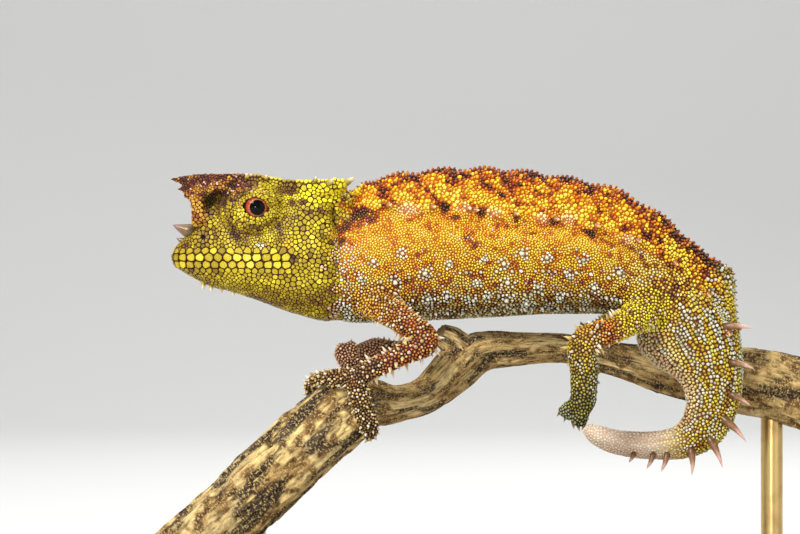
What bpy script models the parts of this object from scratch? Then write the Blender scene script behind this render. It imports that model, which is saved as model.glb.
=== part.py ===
"""A life-size iaraka river leaf chameleon that grips a cut branch, held over a flat base by two rods.

Lengths are metres, +Z is up, and the origin is the centre of the base's underside. The animal faces
-X, so its left side faces -Y. The body is one long loft, parted into head, neck, torso and tail, and
each limb is parted at its joints. Neighbouring solids keep a small clearance.
"""

import math
import random

import bmesh
import bpy
import numpy as np

MM = 0.001
GAP = 0.3 * MM
LEFT, RIGHT = -1, 1
SIDE_NAMES = {LEFT: "left", RIGHT: "right"}

# Body stations from nape to tail tip, in millimetres: the spine's line (x, y, z), how far the body
# reaches from it to the back, to the belly and to each side, then half the width of the roof over the
# back and the roof's drop from the keel to its edge.
STATIONS = MM * np.array([
    (-9.9, 0.0, 30.4, 5.1, 4.8, 3.10, 1.50, 1.0),
    (-8.4, 0.0, 30.4, 4.9, 5.1, 3.10, 1.80, 1.2),
    (-6.4, 0.0, 30.7, 5.8, 5.4, 3.20, 2.10, 1.7),
    (-4.2, 0.1, 31.1, 6.0, 5.7, 3.45, 2.35, 2.2),
    (-0.8, 0.3, 31.5, 6.0, 5.9, 3.80, 2.60, 2.9),
    (3.2, 0.6, 31.6, 5.9, 5.8, 4.00, 2.75, 3.2),
    (7.2, 0.9, 31.5, 5.5, 5.5, 3.90, 2.65, 3.2),
    (11.2, 1.2, 31.0, 5.1, 5.1, 3.60, 2.45, 3.0),
    (14.4, 1.5, 29.8, 4.3, 4.4, 3.20, 2.15, 2.4),
    (16.8, 1.7, 28.0, 3.9, 4.0, 2.90, 1.85, 1.8),
    (18.6, 1.9, 25.6, 3.7, 4.8, 2.70, 1.55, 1.3),
    (19.7, 2.0, 23.2, 3.2, 4.2, 2.30, 1.25, 0.9),
    (20.2, 2.1, 20.8, 2.75, 2.5, 1.90, 1.05, 0.7),
    (20.1, 2.2, 18.8, 2.5, 1.9, 1.60, 0.90, 0.6),
    (19.4, 2.3, 17.0, 2.2, 1.6, 1.45, 0.80, 0.5),
    (18.0, 2.5, 15.8, 1.6, 1.4, 1.30, 0.75, 0.5),
    (15.7, 2.7, 15.4, 1.25, 1.25, 1.15, 0.60, 0.4),
    (13.0, 2.9, 15.6, 1.12, 1.12, 1.05, 0.50, 0.3),
    (11.2, 3.0, 16.2, 0.95, 0.95, 0.88, 0.40, 0.2),
    (10.2, 3.0, 16.9, 0.55, 0.55, 0.52, 0.20, 0.1),
])

# The roof over the back is a row of overlapping lobes, one for each vertebra, each ending in a spine.
# Places are lengths along the spine's line from the nape, and the torso is parted between lobes.
LOBE_START = 1.0 * MM
LOBE_PITCH = 3.1 * MM
LOBES = 10
NECK_END, TORSO_SPLIT, TAIL_START = (LOBE_START + k * LOBE_PITCH for k in (1, 5, 9))
TAIL_SPLITS = (35.9 * MM, 42.27 * MM)
LOBE_SLANT = 1.6 * MM  # how far a lobe runs back between the keel and the roof's edge
KEEL_RISE = 0.35 * MM
HIP_LOBE = (27.9 * MM, 29.3 * MM, 31.1 * MM, 1.3 * MM)  # start, peak and end of the last, high lobe, and its rise
EDGE_FLARE = 0.45 * MM
EDGE_SPINE = (0.9 * MM, 0.38 * MM)  # length and root radius

# Pairs of spines along the tail's back: place along the spine's line, and length.
TAIL_SPINES = MM * np.array([
    (32.35, 1.9), (34.85, 1.6), (37.0, 1.6), (38.7, 2.3), (40.15, 2.2), (41.45, 1.8), (43.1, 1.3), (44.15, 1.1),
    (45.6, 0.7),
])
TAIL_SPINE_ROOT = (0.14 * MM, 0.12)  # the root's radius: a least one, and a share of the length

FLANK_CONE = (0.5 * MM, 0.36 * MM)
FLANK_CONE_PITCH = 1.55 * MM

# Head stations from snout to nape, in millimetres: x, then the heights of crown, lip and chin, and the
# half width at the lips.
HEAD = MM * np.array([
    (-23.0, 31.0, 30.5, 30.2, 0.5),
    (-22.7, 31.5, 30.4, 29.8, 1.0),
    (-22.1, 32.2, 30.3, 29.4, 1.6),
    (-21.1, 33.1, 30.3, 28.8, 2.1),
    (-20.3, 33.9, 30.3, 28.4, 2.4),
    (-19.6, 35.2, 30.3, 28.1, 2.6),
    (-18.6, 36.3, 30.3, 27.9, 2.9),
    (-16.4, 36.6, 30.3, 27.2, 3.2),
    (-14.0, 36.4, 30.3, 26.3, 3.45),
    (-11.6, 36.2, 30.3, 25.6, 3.6),
    (-10.2, 36.0, 30.3, 25.4, 3.4),
])
# The flat helmet over the head: x, half width, height of its rim and of its underside.
HELMET = MM * np.array([
    (-20.0, 1.5, 37.1, 36.2),
    (-18.6, 2.3, 37.3, 35.8),
    (-16.4, 2.75, 37.3, 35.7),
    (-14.0, 2.55, 36.9, 35.6),
    (-12.0, 2.9, 36.8, 35.5),
    (-10.2, 3.2, 36.9, 35.8),
    (-9.1, 2.7, 36.9, 36.2),
])
# Side outline (x, z) of the toothed crest that runs from the brow cone down to the snout.
BROW_CREST = [
    (-23.1, 36.8), (-21.6, 37.1), (-19.7, 37.2), (-17.9, 37.2), (-17.9, 36.0), (-19.5, 35.9),
    (-20.3, 35.4), (-20.4, 34.6), (-20.1, 33.4), (-21.3, 33.0), (-21.35, 33.6), (-21.3, 34.2),
    (-21.35, 34.8), (-21.55, 35.2), (-22.0, 35.5), (-21.6, 35.8), (-22.6, 36.0), (-21.8, 36.3),
]
CREST_INNER, CREST_THICKNESS, CREST_LEAN = 1.35 * MM, 0.7 * MM, 0.25
TURRET_CENTRE, TURRET_RADII = np.array((-16.5, 1.6, 34.3)) * MM, np.array((3.0, 2.5, 2.45)) * MM
BROW_WALL = (MM * np.array((-19.9, 0.0, 35.0)), MM * np.array((0.9, 1.5, 1.4)))  # between the crests
EYE_CENTRE, EYE_RADIUS = np.array((-16.2, 2.95, 34.6)) * MM, 1.3 * MM
MOUTH_CORNER_X, LIP_GROOVE, GROOVE_DEPTH = -13.6 * MM, 0.3 * MM, 0.5 * MM
LIP_BULGE = 0.15 * MM
NOSTRIL = np.array((-20.5, 2.2, 32.1)) * MM
NOSTRIL_RADIUS = 0.3 * MM

# The branch: axis (x, y, z) and radius, in millimetres, from its cut lower end to its cut upper end.
BRANCH = MM * np.array([
    (-23.1, -2.0, 5.7, 2.75),
    (-19.4, -2.0, 9.1, 2.72),
    (-14.2, -2.0, 13.9, 2.70),
    (-9.4, -1.6, 18.2, 2.60),
    (-7.3, -1.2, 19.0, 1.90),
    (-5.0, -0.6, 19.0, 1.35),
    (-2.6, 0.3, 19.7, 1.40),
    (-0.4, 1.2, 21.6, 1.65),
    (1.6, 1.9, 23.0, 1.55),
    (4.6, 2.6, 23.2, 1.25),
    (8.6, 3.6, 23.2, 1.10),
    (13.4, 4.9, 22.2, 1.35),
    (17.4, 6.0, 21.3, 1.85),
    (21.6, 6.7, 20.8, 2.40),
    (25.8, 7.2, 20.0, 2.70),
    (29.6, 7.6, 18.9, 2.75),
])
TWIG_STUB = MM * np.array([(0.6, 1.7, 22.8, 1.3), (-0.6, 1.3, 23.8, 1.1), (-1.6, 0.9, 24.4, 0.8)])
BRANCH_SIDES, BRANCH_STEPS = 12, 34

# Each limb's joints (x, y, z) and the radius there, in millimetres.
LIMBS = {
    "arm_left": [(-7.0, -1.6, 27.2, 1.45), (-4.5, -3.9, 25.6, 1.15), (-2.75, -4.7, 24.0, 1.1),
                 (-4.6, -4.9, 22.95, 0.9), (-7.4, -4.5, 21.65, 0.88)],
    "arm_right": [(-7.0, 1.8, 27.2, 1.45), (-4.95, 4.2, 26.2, 1.0), (-3.1, 5.2, 23.6, 1.05),
                  (-4.8, 4.9, 23.0, 0.88), (-6.8, 4.0, 23.3, 0.88)],
    "leg_left": [(15.2, 0.2, 26.6, 1.7), (12.6, -2.4, 25.1, 1.15), (9.75, -3.9, 23.85, 1.25),
                 (9.7, -3.8, 21.6, 1.2), (9.7, -3.6, 19.4, 1.1)],
    "leg_right": [(15.2, 2.8, 26.6, 1.7), (13.9, 5.0, 26.0, 1.2), (12.7, 6.7, 25.3, 1.1),
                  (12.0, 5.9, 24.9, 0.95), (11.25, 5.3, 24.5, 0.85)],
}
SEGMENT_NAMES = {"arm": ("upper_arm", "forearm", "hand"), "leg": ("thigh", "shin", "foot")}

# Each hand or foot: the palm's centre and radius, then its bundles of joined toes as paths with radii.
GRIPS = {
    "arm_left": [
        [(-7.4, -4.5, 21.65, 0.88), (-8.2, -4.3, 21.05, 1.0), (-8.6, -4.2, 20.8, 0.9)],
        [(-8.3, -4.3, 21.1, 0.92), (-10.0, -3.6, 21.1, 0.85), (-11.3, -2.2, 21.0, 0.75),
         (-11.9, -0.7, 20.6, 0.6), (-11.85, 0.6, 19.4, 0.45)],
        [(-8.2, -4.4, 20.6, 0.95), (-7.9, -4.8, 19.2, 0.9), (-7.35, -4.5, 17.7, 0.85),
         (-7.1, -3.9, 16.75, 0.62), (-7.05, -3.1, 16.35, 0.42)],
    ],
    "arm_right": [
        [(-6.8, 4.0, 23.3, 0.88), (-7.9, 3.1, 22.7, 1.0), (-8.6, 2.4, 22.1, 0.9)],
        [(-8.6, 2.4, 21.8, 0.9), (-9.0, 1.6, 22.5, 1.0), (-9.15, 1.2, 23.1, 1.0), (-9.15, 1.0, 23.55, 0.8)],
        [(-8.4, 2.6, 22.0, 0.9), (-8.2, 2.4, 20.4, 0.8), (-7.9, 2.2, 18.6, 0.7), (-7.7, 1.2, 16.9, 0.5)],
    ],
    "leg_left": [
        [(9.7, -3.6, 19.4, 1.1), (9.4, -3.5, 18.9, 1.1), (9.2, -3.4, 18.6, 0.95)],
        [(9.3, -3.4, 18.75, 0.85), (8.6, -3.1, 18.5, 0.85), (8.2, -2.9, 18.2, 0.7)],
        [(9.45, -3.6, 18.5, 0.85), (9.35, -3.6, 17.85, 0.75), (9.3, -3.6, 17.5, 0.6)],
    ],
    "leg_right": [
        [(11.25, 5.3, 24.5, 0.85), (10.75, 4.9, 24.5, 0.9), (10.5, 4.7, 24.5, 0.85)],
        [(10.7, 4.7, 24.6, 0.75), (10.2, 3.8, 24.65, 0.65), (9.9, 2.7, 24.2, 0.55), (9.8, 2.2, 23.4, 0.45)],
        [(10.7, 4.9, 24.4, 0.8), (10.9, 5.7, 23.4, 0.7), (11.1, 5.6, 22.2, 0.6), (11.1, 4.9, 21.4, 0.45)],
    ],
}
LIMB_SIDES, TOE_SIDES = 8, 7
CLAW = (0.5 * MM, 0.25 * MM)  # length and root radius
LIMB_SPINE = (0.75 * MM, 0.3 * MM)
LIMB_SPINE_SPACING = 1.35 * MM

BASE_LENGTH, BASE_WIDTH, BASE_THICKNESS = 60 * MM, 30 * MM, 2.6 * MM
BASE_CORNER, BASE_EDGE = 8 * MM, 0.5 * MM
ROD_RADIUS, ROD_SIDES = 0.9 * MM, 12
ROD_ROWS = {"stand_rod_front": 1.6, "stand_rod_rear": 14.0}  # places in the table of the branch


def clear_scene():
    for old in list(bpy.data.objects):
        bpy.data.objects.remove(old)


def material(name, colour, roughness=0.7, metallic=0.0):
    made = bpy.data.materials.new(name)
    made.use_nodes = True
    shader = made.node_tree.nodes["Principled BSDF"]
    shader.inputs["Base Color"].default_value = (*colour, 1.0)
    shader.inputs["Roughness"].default_value = roughness
    shader.inputs["Metallic"].default_value = metallic
    return made


def along(rows, at):
    """The table's rows read at fractional row numbers, on a Catmull-Rom curve through the rows."""
    at = np.atleast_1d(np.asarray(at, float))
    first = np.clip(np.floor(at).astype(int), 0, len(rows) - 2)
    f = (at - first)[:, None]
    padded = np.vstack([2 * rows[0] - rows[1], rows, 2 * rows[-1] - rows[-2]])
    a, b, c, d = (padded[first + k] for k in range(4))
    return b + 0.5 * f * ((c - a) + f * ((2 * a - 5 * b + 4 * c - d) + f * (3 * (b - c) + d - a)))


def unit(v):
    return np.asarray(v, float) / np.linalg.norm(v)


STATION_SAMPLES = np.linspace(0, len(STATIONS) - 1, 1801)
_line = along(STATIONS, STATION_SAMPLES)[:, :3]
LENGTHS = np.concatenate([[0.0], np.cumsum(np.linalg.norm(np.diff(_line, axis=0), axis=1))])


def closed_curve(points, per_span):
    """A closed Catmull-Rom curve through the points, with so many samples from each point to the next."""
    points = np.asarray(points)
    f = (np.arange(per_span) / per_span)[None, :, None]
    a, b, c, d = (np.roll(points, 1 - k, axis=0)[:, None, :] for k in range(4))
    curve = b + 0.5 * f * ((c - a) + f * ((2 * a - 5 * b + 4 * c - d) + f * (3 * (b - c) + d - a)))
    return curve.reshape(-1, points.shape[1])


def mesh_object(name, vertices, faces):
    mesh = bpy.data.meshes.new(name)
    mesh.from_pydata([tuple(v) for v in vertices], [], faces)
    work = bmesh.new()
    work.from_mesh(mesh)
    bmesh.ops.triangulate(work, faces=work.faces[:])
    if work.calc_volume(signed=True) < 0:
        bmesh.ops.reverse_faces(work, faces=work.faces[:])
    work.to_mesh(mesh)
    work.free()
    made = bpy.data.objects.new(name, mesh)
    bpy.context.scene.collection.objects.link(made)
    return made


def loft(name, rings):
    """A closed solid through rings of equal size, with a flat face over each end."""
    rings = np.asarray(rings)
    count, size = rings.shape[:2]
    faces = [tuple(range(size))[::-1], tuple(range((count - 1) * size, count * size))]
    for i in range(count - 1):
        for j in range(size):
            k = (j + 1) % size
            faces.append((i * size + j, i * size + k, (i + 1) * size + k, (i + 1) * size + j))
    return mesh_object(name, rings.reshape(-1, 3), faces)


def ellipsoid(name, centre, radii, segments=20, rings=12):
    work = bmesh.new()
    bmesh.ops.create_uvsphere(work, u_segments=segments, v_segments=rings, radius=1.0)
    points = [np.asarray(v.co) * radii + centre for v in work.verts]
    faces = [tuple(v.index for v in f.verts) for f in work.faces]
    work.free()
    return mesh_object(name, points, faces)


def spine(root, direction, length, radius, sides=4, sunk=0.45 * MM):
    """A tapering spine whose root is sunk into what it grows from."""
    direction = unit(direction)
    across = unit(np.cross(direction, (0.3, 0.2, 0.9)))
    beside = np.cross(direction, across)
    turns = [math.tau * k / sides for k in range(sides)]
    ring = [across * math.cos(a) + beside * math.sin(a) for a in turns]
    foot = [root - direction * sunk + radius * r for r in ring]
    waist = [root + direction * 0.45 * length + 0.5 * radius * r for r in ring]
    tip = root + direction * length
    faces = [tuple(range(sides))[::-1]]
    for j in range(sides):
        k = (j + 1) % sides
        faces.append((j, k, sides + k, sides + j))
        faces.append((sides + j, sides + k, 2 * sides))
    return mesh_object("spine", foot + waist + [tip], faces)


def apply_modifiers(solid):
    graph = bpy.context.evaluated_depsgraph_get()
    mesh = bpy.data.meshes.new_from_object(solid.evaluated_get(graph))
    solid.modifiers.clear()
    solid.data = mesh


def combine(solid, others, operation):
    """One Boolean of the solid with all of the others, which are then removed."""
    group = bpy.data.collections.new("pieces")
    bpy.context.scene.collection.children.link(group)
    for other in others:
        bpy.context.scene.collection.objects.unlink(other)
        group.objects.link(other)
    step = solid.modifiers.new("combine", "BOOLEAN")
    step.operand_type = "COLLECTION"
    step.collection = group
    step.operation = operation
    step.solver = "MANIFOLD"
    apply_modifiers(solid)
    for other in others:
        bpy.data.objects.remove(other)
    bpy.data.collections.remove(group)
    keep_largest(solid)


def keep_largest(solid):
    """Keeps only the closed surface that reaches round the largest volume."""
    work = bmesh.new()
    work.from_mesh(solid.data)
    left, groups = set(work.verts), []
    while left:
        found, edge = set(), [left.pop()]
        while edge:
            v = edge.pop()
            found.add(v)
            for e in v.link_edges:
                other = e.other_vert(v)
                if other in left:
                    left.remove(other)
                    edge.append(other)
        groups.append(found)
    if len(groups) > 1:
        def reach(group):
            points = np.array([v.co for v in group])
            return np.prod(points.max(0) - points.min(0))

        keep = max(groups, key=reach)
        bmesh.ops.delete(work, geom=[v for v in work.verts if v not in keep], context="VERTS")
        work.to_mesh(solid.data)
    work.free()


def half_space(point, normal, size=60 * MM):
    """A large block that starts at the point and fills the side to which the normal points."""
    normal = unit(normal)
    across = unit(np.cross(normal, (0.31, 0.52, 0.79)))
    beside = np.cross(normal, across)
    corners = [(-1, -1), (1, -1), (1, 1), (-1, 1)]
    near = [point + size * (a * across + b * beside) for a, b in corners]
    return loft("half_space", [near, [p + size * normal for p in near]])


# The body: neck, torso and tail.


def body_frame(s):
    """The spine's line at length s, as centre, side, up and aft directions, and the station's sizes."""
    station = np.interp(s, LENGTHS, STATION_SAMPLES)
    row = along(STATIONS, station)[0]
    near = along(STATIONS, [max(station - 0.02, 0), min(station + 0.02, len(STATIONS) - 1)])
    aft = unit(near[1, :3] - near[0, :3])
    side = unit(np.array((0, 1, 0)) - aft * aft[1])
    return row[:3], side, np.cross(aft, side), aft, row[3:]


def lobe(s, slant):
    """0 to 1 along one lobe of the roof: it swells towards its rear end and drops at the next lobe."""
    place = (s - LOBE_START - slant) / LOBE_PITCH
    if not 0 <= place < LOBES:
        return 0.0
    return math.sin(math.pi * (place % 1.0) ** 1.4)


def body_outline(s, sizes):
    """Half of the section's outline as (out, up), from the keel on the back to the middle of the belly."""
    back, belly, side, roof, drop = sizes
    flare = lobe(s, LOBE_SLANT)
    notch = np.array((0.95 * roof, back - 1.28 * drop))
    return [
        np.array((0.0, back + KEEL_RISE * lobe(s, 0.0) + np.interp(s, HIP_LOBE[:3], (0, HIP_LOBE[3], 0)))),
        np.array((roof + EDGE_FLARE * flare, back - drop - 0.5 * EDGE_FLARE * flare)),
        notch,
        np.array((notch[0] + 0.72 * (side - notch[0]), 0.45 * notch[1])),
        np.array((side, -0.05 * belly)),
        np.array((0.74 * side, -0.70 * belly)),
        np.array((0.0, -belly)),
    ]


def body_ring(s, grow=0.0, per_span=2):
    centre, side, up, _, sizes = body_frame(s)
    half = body_outline(s, sizes)
    points = half + [p * (-1, 1) for p in half[-2:0:-1]]
    points = closed_curve(points, per_span)
    points *= 1 + grow / np.linalg.norm(points, axis=1, keepdims=True)
    return centre + points[:, :1] * side + points[:, 1:] * up


def body_solid(name, start, end, step, grow=0.0):
    """The body between two lengths along the spine's line, with flat ends half a clearance inside them."""
    first, last = start + GAP / 2, end - GAP / 2
    count = max(2, round((last - first) / step) + 1)
    return loft(name, [body_ring(s, grow) for s in np.linspace(first, last, count)])


def clear_of_ends(s, start, end, radius):
    """The place s moved clear of the ends of a length of the body, or None where it lies outside them."""
    if not start <= s < end:
        return None
    margin = radius + 1.5 * GAP
    return min(max(s, start + margin), end - margin)


def edge_spines(start, end):
    """The spine at the rear end of each lobe of the roof, on both sides, between two lengths."""
    made = []
    for k in range(LOBES):
        s = clear_of_ends(LOBE_START + LOBE_SLANT + (k + 0.72) * LOBE_PITCH, start, end, EDGE_SPINE[1])
        if s is None:
            continue
        centre, side, up, aft, sizes = body_frame(s)
        out, rise = body_outline(s, sizes)[1]
        for way in (LEFT, RIGHT):
            root = centre + way * out * side + rise * up
            made.append(spine(root, way * side - 0.15 * up + 0.5 * aft, *EDGE_SPINE))
    return made


def tail_spines(start, end):
    """Pairs of spines along the tail's back between two lengths."""
    made = []
    for s, length in TAIL_SPINES:
        radius = TAIL_SPINE_ROOT[0] + TAIL_SPINE_ROOT[1] * length
        place = clear_of_ends(s, start, end, radius)
        if place is not None:
            centre, side, up, aft, sizes = body_frame(place)
            for way in (LEFT, RIGHT):
                root = centre + way * 0.62 * sizes[2] * side + 0.72 * sizes[0] * up
                made.append(spine(root, way * 0.42 * side + up + 0.3 * aft, length, radius, sides=5))
    return made


def flank_cones(start, end):
    """Low cones in two staggered rows along the lower flank, up to the tail, between two lengths."""
    made = []
    for k in range(2, int(TAIL_START / FLANK_CONE_PITCH)):
        s = clear_of_ends(k * FLANK_CONE_PITCH, start, end, FLANK_CONE[1])
        if s is not None:
            ring, centre = body_ring(s), body_frame(s)[0]
            for place in (10 + k % 2, -10 - k % 2):
                made.append(spine(ring[place], ring[place] - centre, *FLANK_CONE))
    return made


def body_nodes():
    cuts = [-GAP / 2, NECK_END, TORSO_SPLIT, TAIL_START, *TAIL_SPLITS, LENGTHS[-1] + GAP / 2]
    names = ("neck", "torso_front", "torso_rear", "tail_root", "tail_middle", "tail_tip")
    steps = MM * np.array((0.62, 0.62, 0.62, 0.9, 0.9, 0.8))
    made = {}
    for name, start, end, step in zip(names, cuts, cuts[1:], steps):
        solid = body_solid(name, start, end, step)
        spines = edge_spines(start, end) + tail_spines(start, end) + flank_cones(start, end)
        combine(solid, spines, "UNION")
        made[name] = solid
    nape = HEAD[-1, :3] * (1, 0, 1) + (GAP, 0, 0)
    combine(made["neck"], [half_space(nape, (-1, 0, 0))], "DIFFERENCE")
    return made


# The head.


def head_ring(row, grow=0.0, sides=20):
    """A boxy section: level crown, full cheeks at the lips and a rounder throat."""
    x, crown, lip, chin, half = row
    points = []
    for k in range(sides):
        turn = math.tau * k / sides
        c, s = math.cos(turn), math.sin(turn)
        blunt = 0.72 if c > 0 else 0.95
        lip_share = max(0.0, 1 - abs(c) / 0.35)
        out = math.copysign(abs(s) ** blunt, s) * (half + LIP_BULGE * lip_share + grow)
        reach = (crown - lip if c > 0 else lip - chin) + grow
        points.append((x, out, lip + math.copysign(abs(c) ** blunt, c) * reach))
    return points


def head_solid(name, grow=0.0, count=20):
    rows = along(HEAD, np.linspace(0, len(HEAD) - 1, count))
    return loft(name, [head_ring(row, grow) for row in rows])


def helmet_solid():
    rings = []
    for x, half, rim, under in along(HELMET, np.linspace(0, len(HELMET) - 1, 13)):
        profile = [
            (0.0, rim - 0.3 * MM), (0.6 * half, rim - 0.25 * MM), (0.93 * half, rim),
            (half, rim - 0.3 * MM), (0.9 * half, under), (0.4 * half, under - 0.15 * MM),
        ]
        mirrored = [(-out, z) for out, z in profile[:0:-1]]
        rings.append([(x, out, z) for out, z in profile + mirrored])
    return loft("helmet", rings)


def brow_crest(way):
    outline = MM * np.array(BROW_CREST)
    lean = CREST_INNER + CREST_LEAN * (outline[:, 1] - outline[:, 1].min())
    inner = [(x, way * y, z) for (x, z), y in zip(outline, lean)]
    outer = [(x, way * (y + CREST_THICKNESS), z) for (x, z), y in zip(outline, lean)]
    return loft("brow_crest", [inner, outer])


def head_points(way):
    """The spines of one side of the head: snout horns, helmet rim, rear corner, cheek and chin."""
    made = [
        spine(MM * np.array((-21.7, way * 0.8, 32.75)), (-1, 0.1 * way, 0.3), 1.5 * MM, 0.62 * MM),
        spine(MM * np.array((-22.1, way * 0.6, 31.9)), (-1, 0.1 * way, 0.35), 0.6 * MM, 0.3 * MM),
        spine(MM * np.array((-9.3, way * 2.3, 36.5)), (1, 0.2 * way, 0.45), 1.0 * MM, 0.33 * MM),
        spine(MM * np.array((-10.4, way * 3.1, 36.5)), (0.5, 0.8 * way, 0.3), 0.8 * MM, 0.35 * MM),
        spine(MM * np.array((-10.7, way * 3.0, 34.0)), (0.3, 0.9 * way, 0.1), 0.7 * MM, 0.35 * MM),
        spine(MM * np.array((-10.7, way * 3.4, 32.4)), (0.3, 0.9 * way, 0.0), 0.6 * MM, 0.35 * MM),
    ]
    for k in range(6):
        x, half, rim, _ = along(HELMET, 0.9 + 0.75 * k)[0]
        root = np.array((x, way * 0.95 * half, rim - 0.1 * MM))
        made.append(spine(root, (0.1, 0.5 * way, 0.8), 0.45 * MM, 0.3 * MM))
    for k in range(4):
        x = -20.9 * MM + 0.8 * MM * k
        chin = np.interp(x, HEAD[:, 0], HEAD[:, 3])
        root = np.array((x, way * 0.65 * MM, chin + 0.15 * MM))
        made.append(spine(root, (0.05, 0.3 * way, -1), (0.75 - 0.08 * k) * MM, 0.27 * MM))
    return made


def mouth_cutter():
    """A thin sheet at the lips, as deep as the groove, from the snout to the corners of the mouth."""
    high, low = HEAD[3, 2] + LIP_GROOVE / 2, HEAD[3, 2] - LIP_GROOVE / 2
    wide = 6 * MM
    ends = [
        [(x, -wide, low), (x, wide, low), (x, wide, high), (x, -wide, high)]
        for x in (HEAD[0, 0] - 1 * MM, MOUTH_CORNER_X)
    ]
    sheet = loft("mouth", ends)
    combine(sheet, [head_solid("core", grow=-GROOVE_DEPTH)], "DIFFERENCE")
    return sheet


def head_node():
    head = head_solid("head")
    parts = [helmet_solid(), ellipsoid("brow_wall", *BROW_WALL, 12, 8)]
    for way in (LEFT, RIGHT):
        parts.append(ellipsoid("turret", TURRET_CENTRE * (1, way, 1), TURRET_RADII, 18, 11))
        parts.append(brow_crest(way))
        parts += head_points(way)
    combine(head, parts, "UNION")
    cutters = [mouth_cutter()]
    for way in (LEFT, RIGHT):
        cutters.append(ellipsoid("socket", EYE_CENTRE * (1, way, 1), EYE_RADIUS + GAP, 16, 12))
        cutters.append(ellipsoid("nostril", NOSTRIL * (1, way, 1), NOSTRIL_RADIUS, 8, 6))
    combine(head, cutters, "DIFFERENCE")
    return head


def eye_nodes():
    return {
        f"eye_{SIDE_NAMES[way]}": ellipsoid(
            f"eye_{SIDE_NAMES[way]}", EYE_CENTRE * (1, way, 1), EYE_RADIUS, 14, 9
        )
        for way in (LEFT, RIGHT)
    }


# Limbs, branch and stand are tubes along a curve.


def tube_rings(rows, sides, steps, grow=0.0, rough=0.0):
    """Rings round a curve through the rows, each turned as little as can be from the ring before."""
    at = np.linspace(0, len(rows) - 1, steps)
    placed = along(rows, at)
    aims = np.gradient(placed[:, :3], axis=0)
    across = unit(np.cross(aims[0], (0.2, 0.9, 0.1)))
    rings = []
    for row, aim, place in zip(placed, aims, at):
        aim = unit(aim)
        across = unit(across - aim * np.dot(across, aim))
        beside = np.cross(aim, across)
        turn = math.tau * np.arange(sides) / sides
        flutes = 0.6 * np.sin(5 * turn + 0.9 * place) + 0.4 * np.sin(3 * turn - 1.7 * place)
        radius = (row[3] * (1 + rough * flutes) + grow)[:, None]
        rings.append(row[:3] + radius * (np.cos(turn)[:, None] * across + np.sin(turn)[:, None] * beside))
    return rings


def rounded_tube(name, rows, sides=LIMB_SIDES, steps=7):
    """A tube with a blunt dome on each end."""
    rows = MM * np.asarray(rows)
    rings = tube_rings(rows, sides, steps)
    domes = []
    for end, other in ((0, 1), (-1, -2)):
        middle = rings[end].mean(axis=0)
        out = unit(middle - rings[other].mean(axis=0)) * rows[end, 3]
        domes.append([middle + 0.75 * out + 0.55 * (rings[end] - middle),
                      middle + 0.45 * out + 0.85 * (rings[end] - middle)])
    return loft(name, [*domes[0], *rings, *domes[1][::-1]])


def branch_solid(name, grow=0.0):
    stub = loft("stub", tube_rings(TWIG_STUB, 10, 6, grow, rough=0.05))
    branch = loft(name, tube_rings(BRANCH, BRANCH_SIDES, BRANCH_STEPS, grow, rough=0.07))
    combine(branch, [stub], "UNION")
    return branch


def limb_spines(rows, seed):
    """Conical spines in rows along a limb segment, well clear of both of its ends."""
    draw = random.Random(seed)
    rows = MM * np.asarray(rows)
    span = np.linalg.norm(rows[-1, :3] - rows[0, :3])
    made = []
    count = max(2, round(span / LIMB_SPINE_SPACING))
    for k in range(count):
        share = 0.25 + 0.5 * k / (count - 1)
        at = share * (len(rows) - 1)
        row = along(rows, at)[0]
        aim = unit(along(rows, at + 0.05)[0, :3] - along(rows, at - 0.05)[0, :3])
        across = unit(np.cross(aim, (0, 1, 0)))
        beside = np.cross(aim, across)
        for turn in (0.4, 2.5, 4.6):
            turn += draw.uniform(-0.3, 0.3) + 1.05 * (k % 2)
            out = across * math.cos(turn) + beside * math.sin(turn)
            size = draw.uniform(0.75, 1.15)
            root = row[:3] + 0.93 * row[3] * out
            made.append(spine(root, out + 0.35 * aim, LIMB_SPINE[0] * size, LIMB_SPINE[1]))
    return made


def claws(path):
    """Two short claws at the end of a bundle of toes."""
    rows = MM * np.asarray(path)
    end, aim = rows[-1], unit(rows[-1, :3] - rows[-2, :3])
    apart = unit(np.cross(aim, (0.4, 0.3, 0.9)))
    return [
        spine(end[:3] + (0.45 * way * apart + 0.5 * aim) * end[3], aim + 0.3 * way * apart, *CLAW)
        for way in (LEFT, RIGHT)
    ]


def joint_planes(first, second, joint):
    """The plane that parts two limb segments at a joint: the one that halves the angle between them."""
    back, forth = unit(first[:3] - joint[:3]), unit(second[:3] - joint[:3])
    return joint[:3], unit(forth - back)


def limb_nodes(limb, body_cutters, branch_cutters):
    """Three nodes of one limb, each trimmed to its neighbours, to the body and to the branch."""
    kind, side = limb.split("_")
    rows = LIMBS[limb]
    table = MM * np.asarray(rows)
    knee, bend = joint_planes(table[1], table[3], table[2])
    wrist = table[4, :3]
    hand_way = unit(table[4, :3] - table[3, :3])
    upper, lower, grip = (f"{part}_{side}" for part in SEGMENT_NAMES[kind])

    first = rounded_tube(upper, rows[:3])
    combine(first, limb_spines(rows[:3], seed=1), "UNION")
    combine(first, [half_space(knee - bend * GAP / 2, bend), body_cutters()], "DIFFERENCE")

    second = rounded_tube(lower, rows[2:])
    combine(second, limb_spines(rows[2:], seed=2), "UNION")
    ends = [half_space(knee + bend * GAP / 2, -bend), half_space(wrist - hand_way * GAP / 2, hand_way)]
    combine(second, [*ends, body_cutters(), branch_cutters()], "DIFFERENCE")

    palm, *bundles = GRIPS[limb]
    third = rounded_tube(grip, palm, steps=4)
    toes = []
    for bundle in bundles:
        toes += [rounded_tube("toes", bundle, TOE_SIDES, 6), *claws(bundle)]
    combine(third, toes, "UNION")
    combine(third, [half_space(wrist + hand_way * GAP / 2, -hand_way), branch_cutters()], "DIFFERENCE")
    return {upper: first, lower: second, grip: third}


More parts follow.
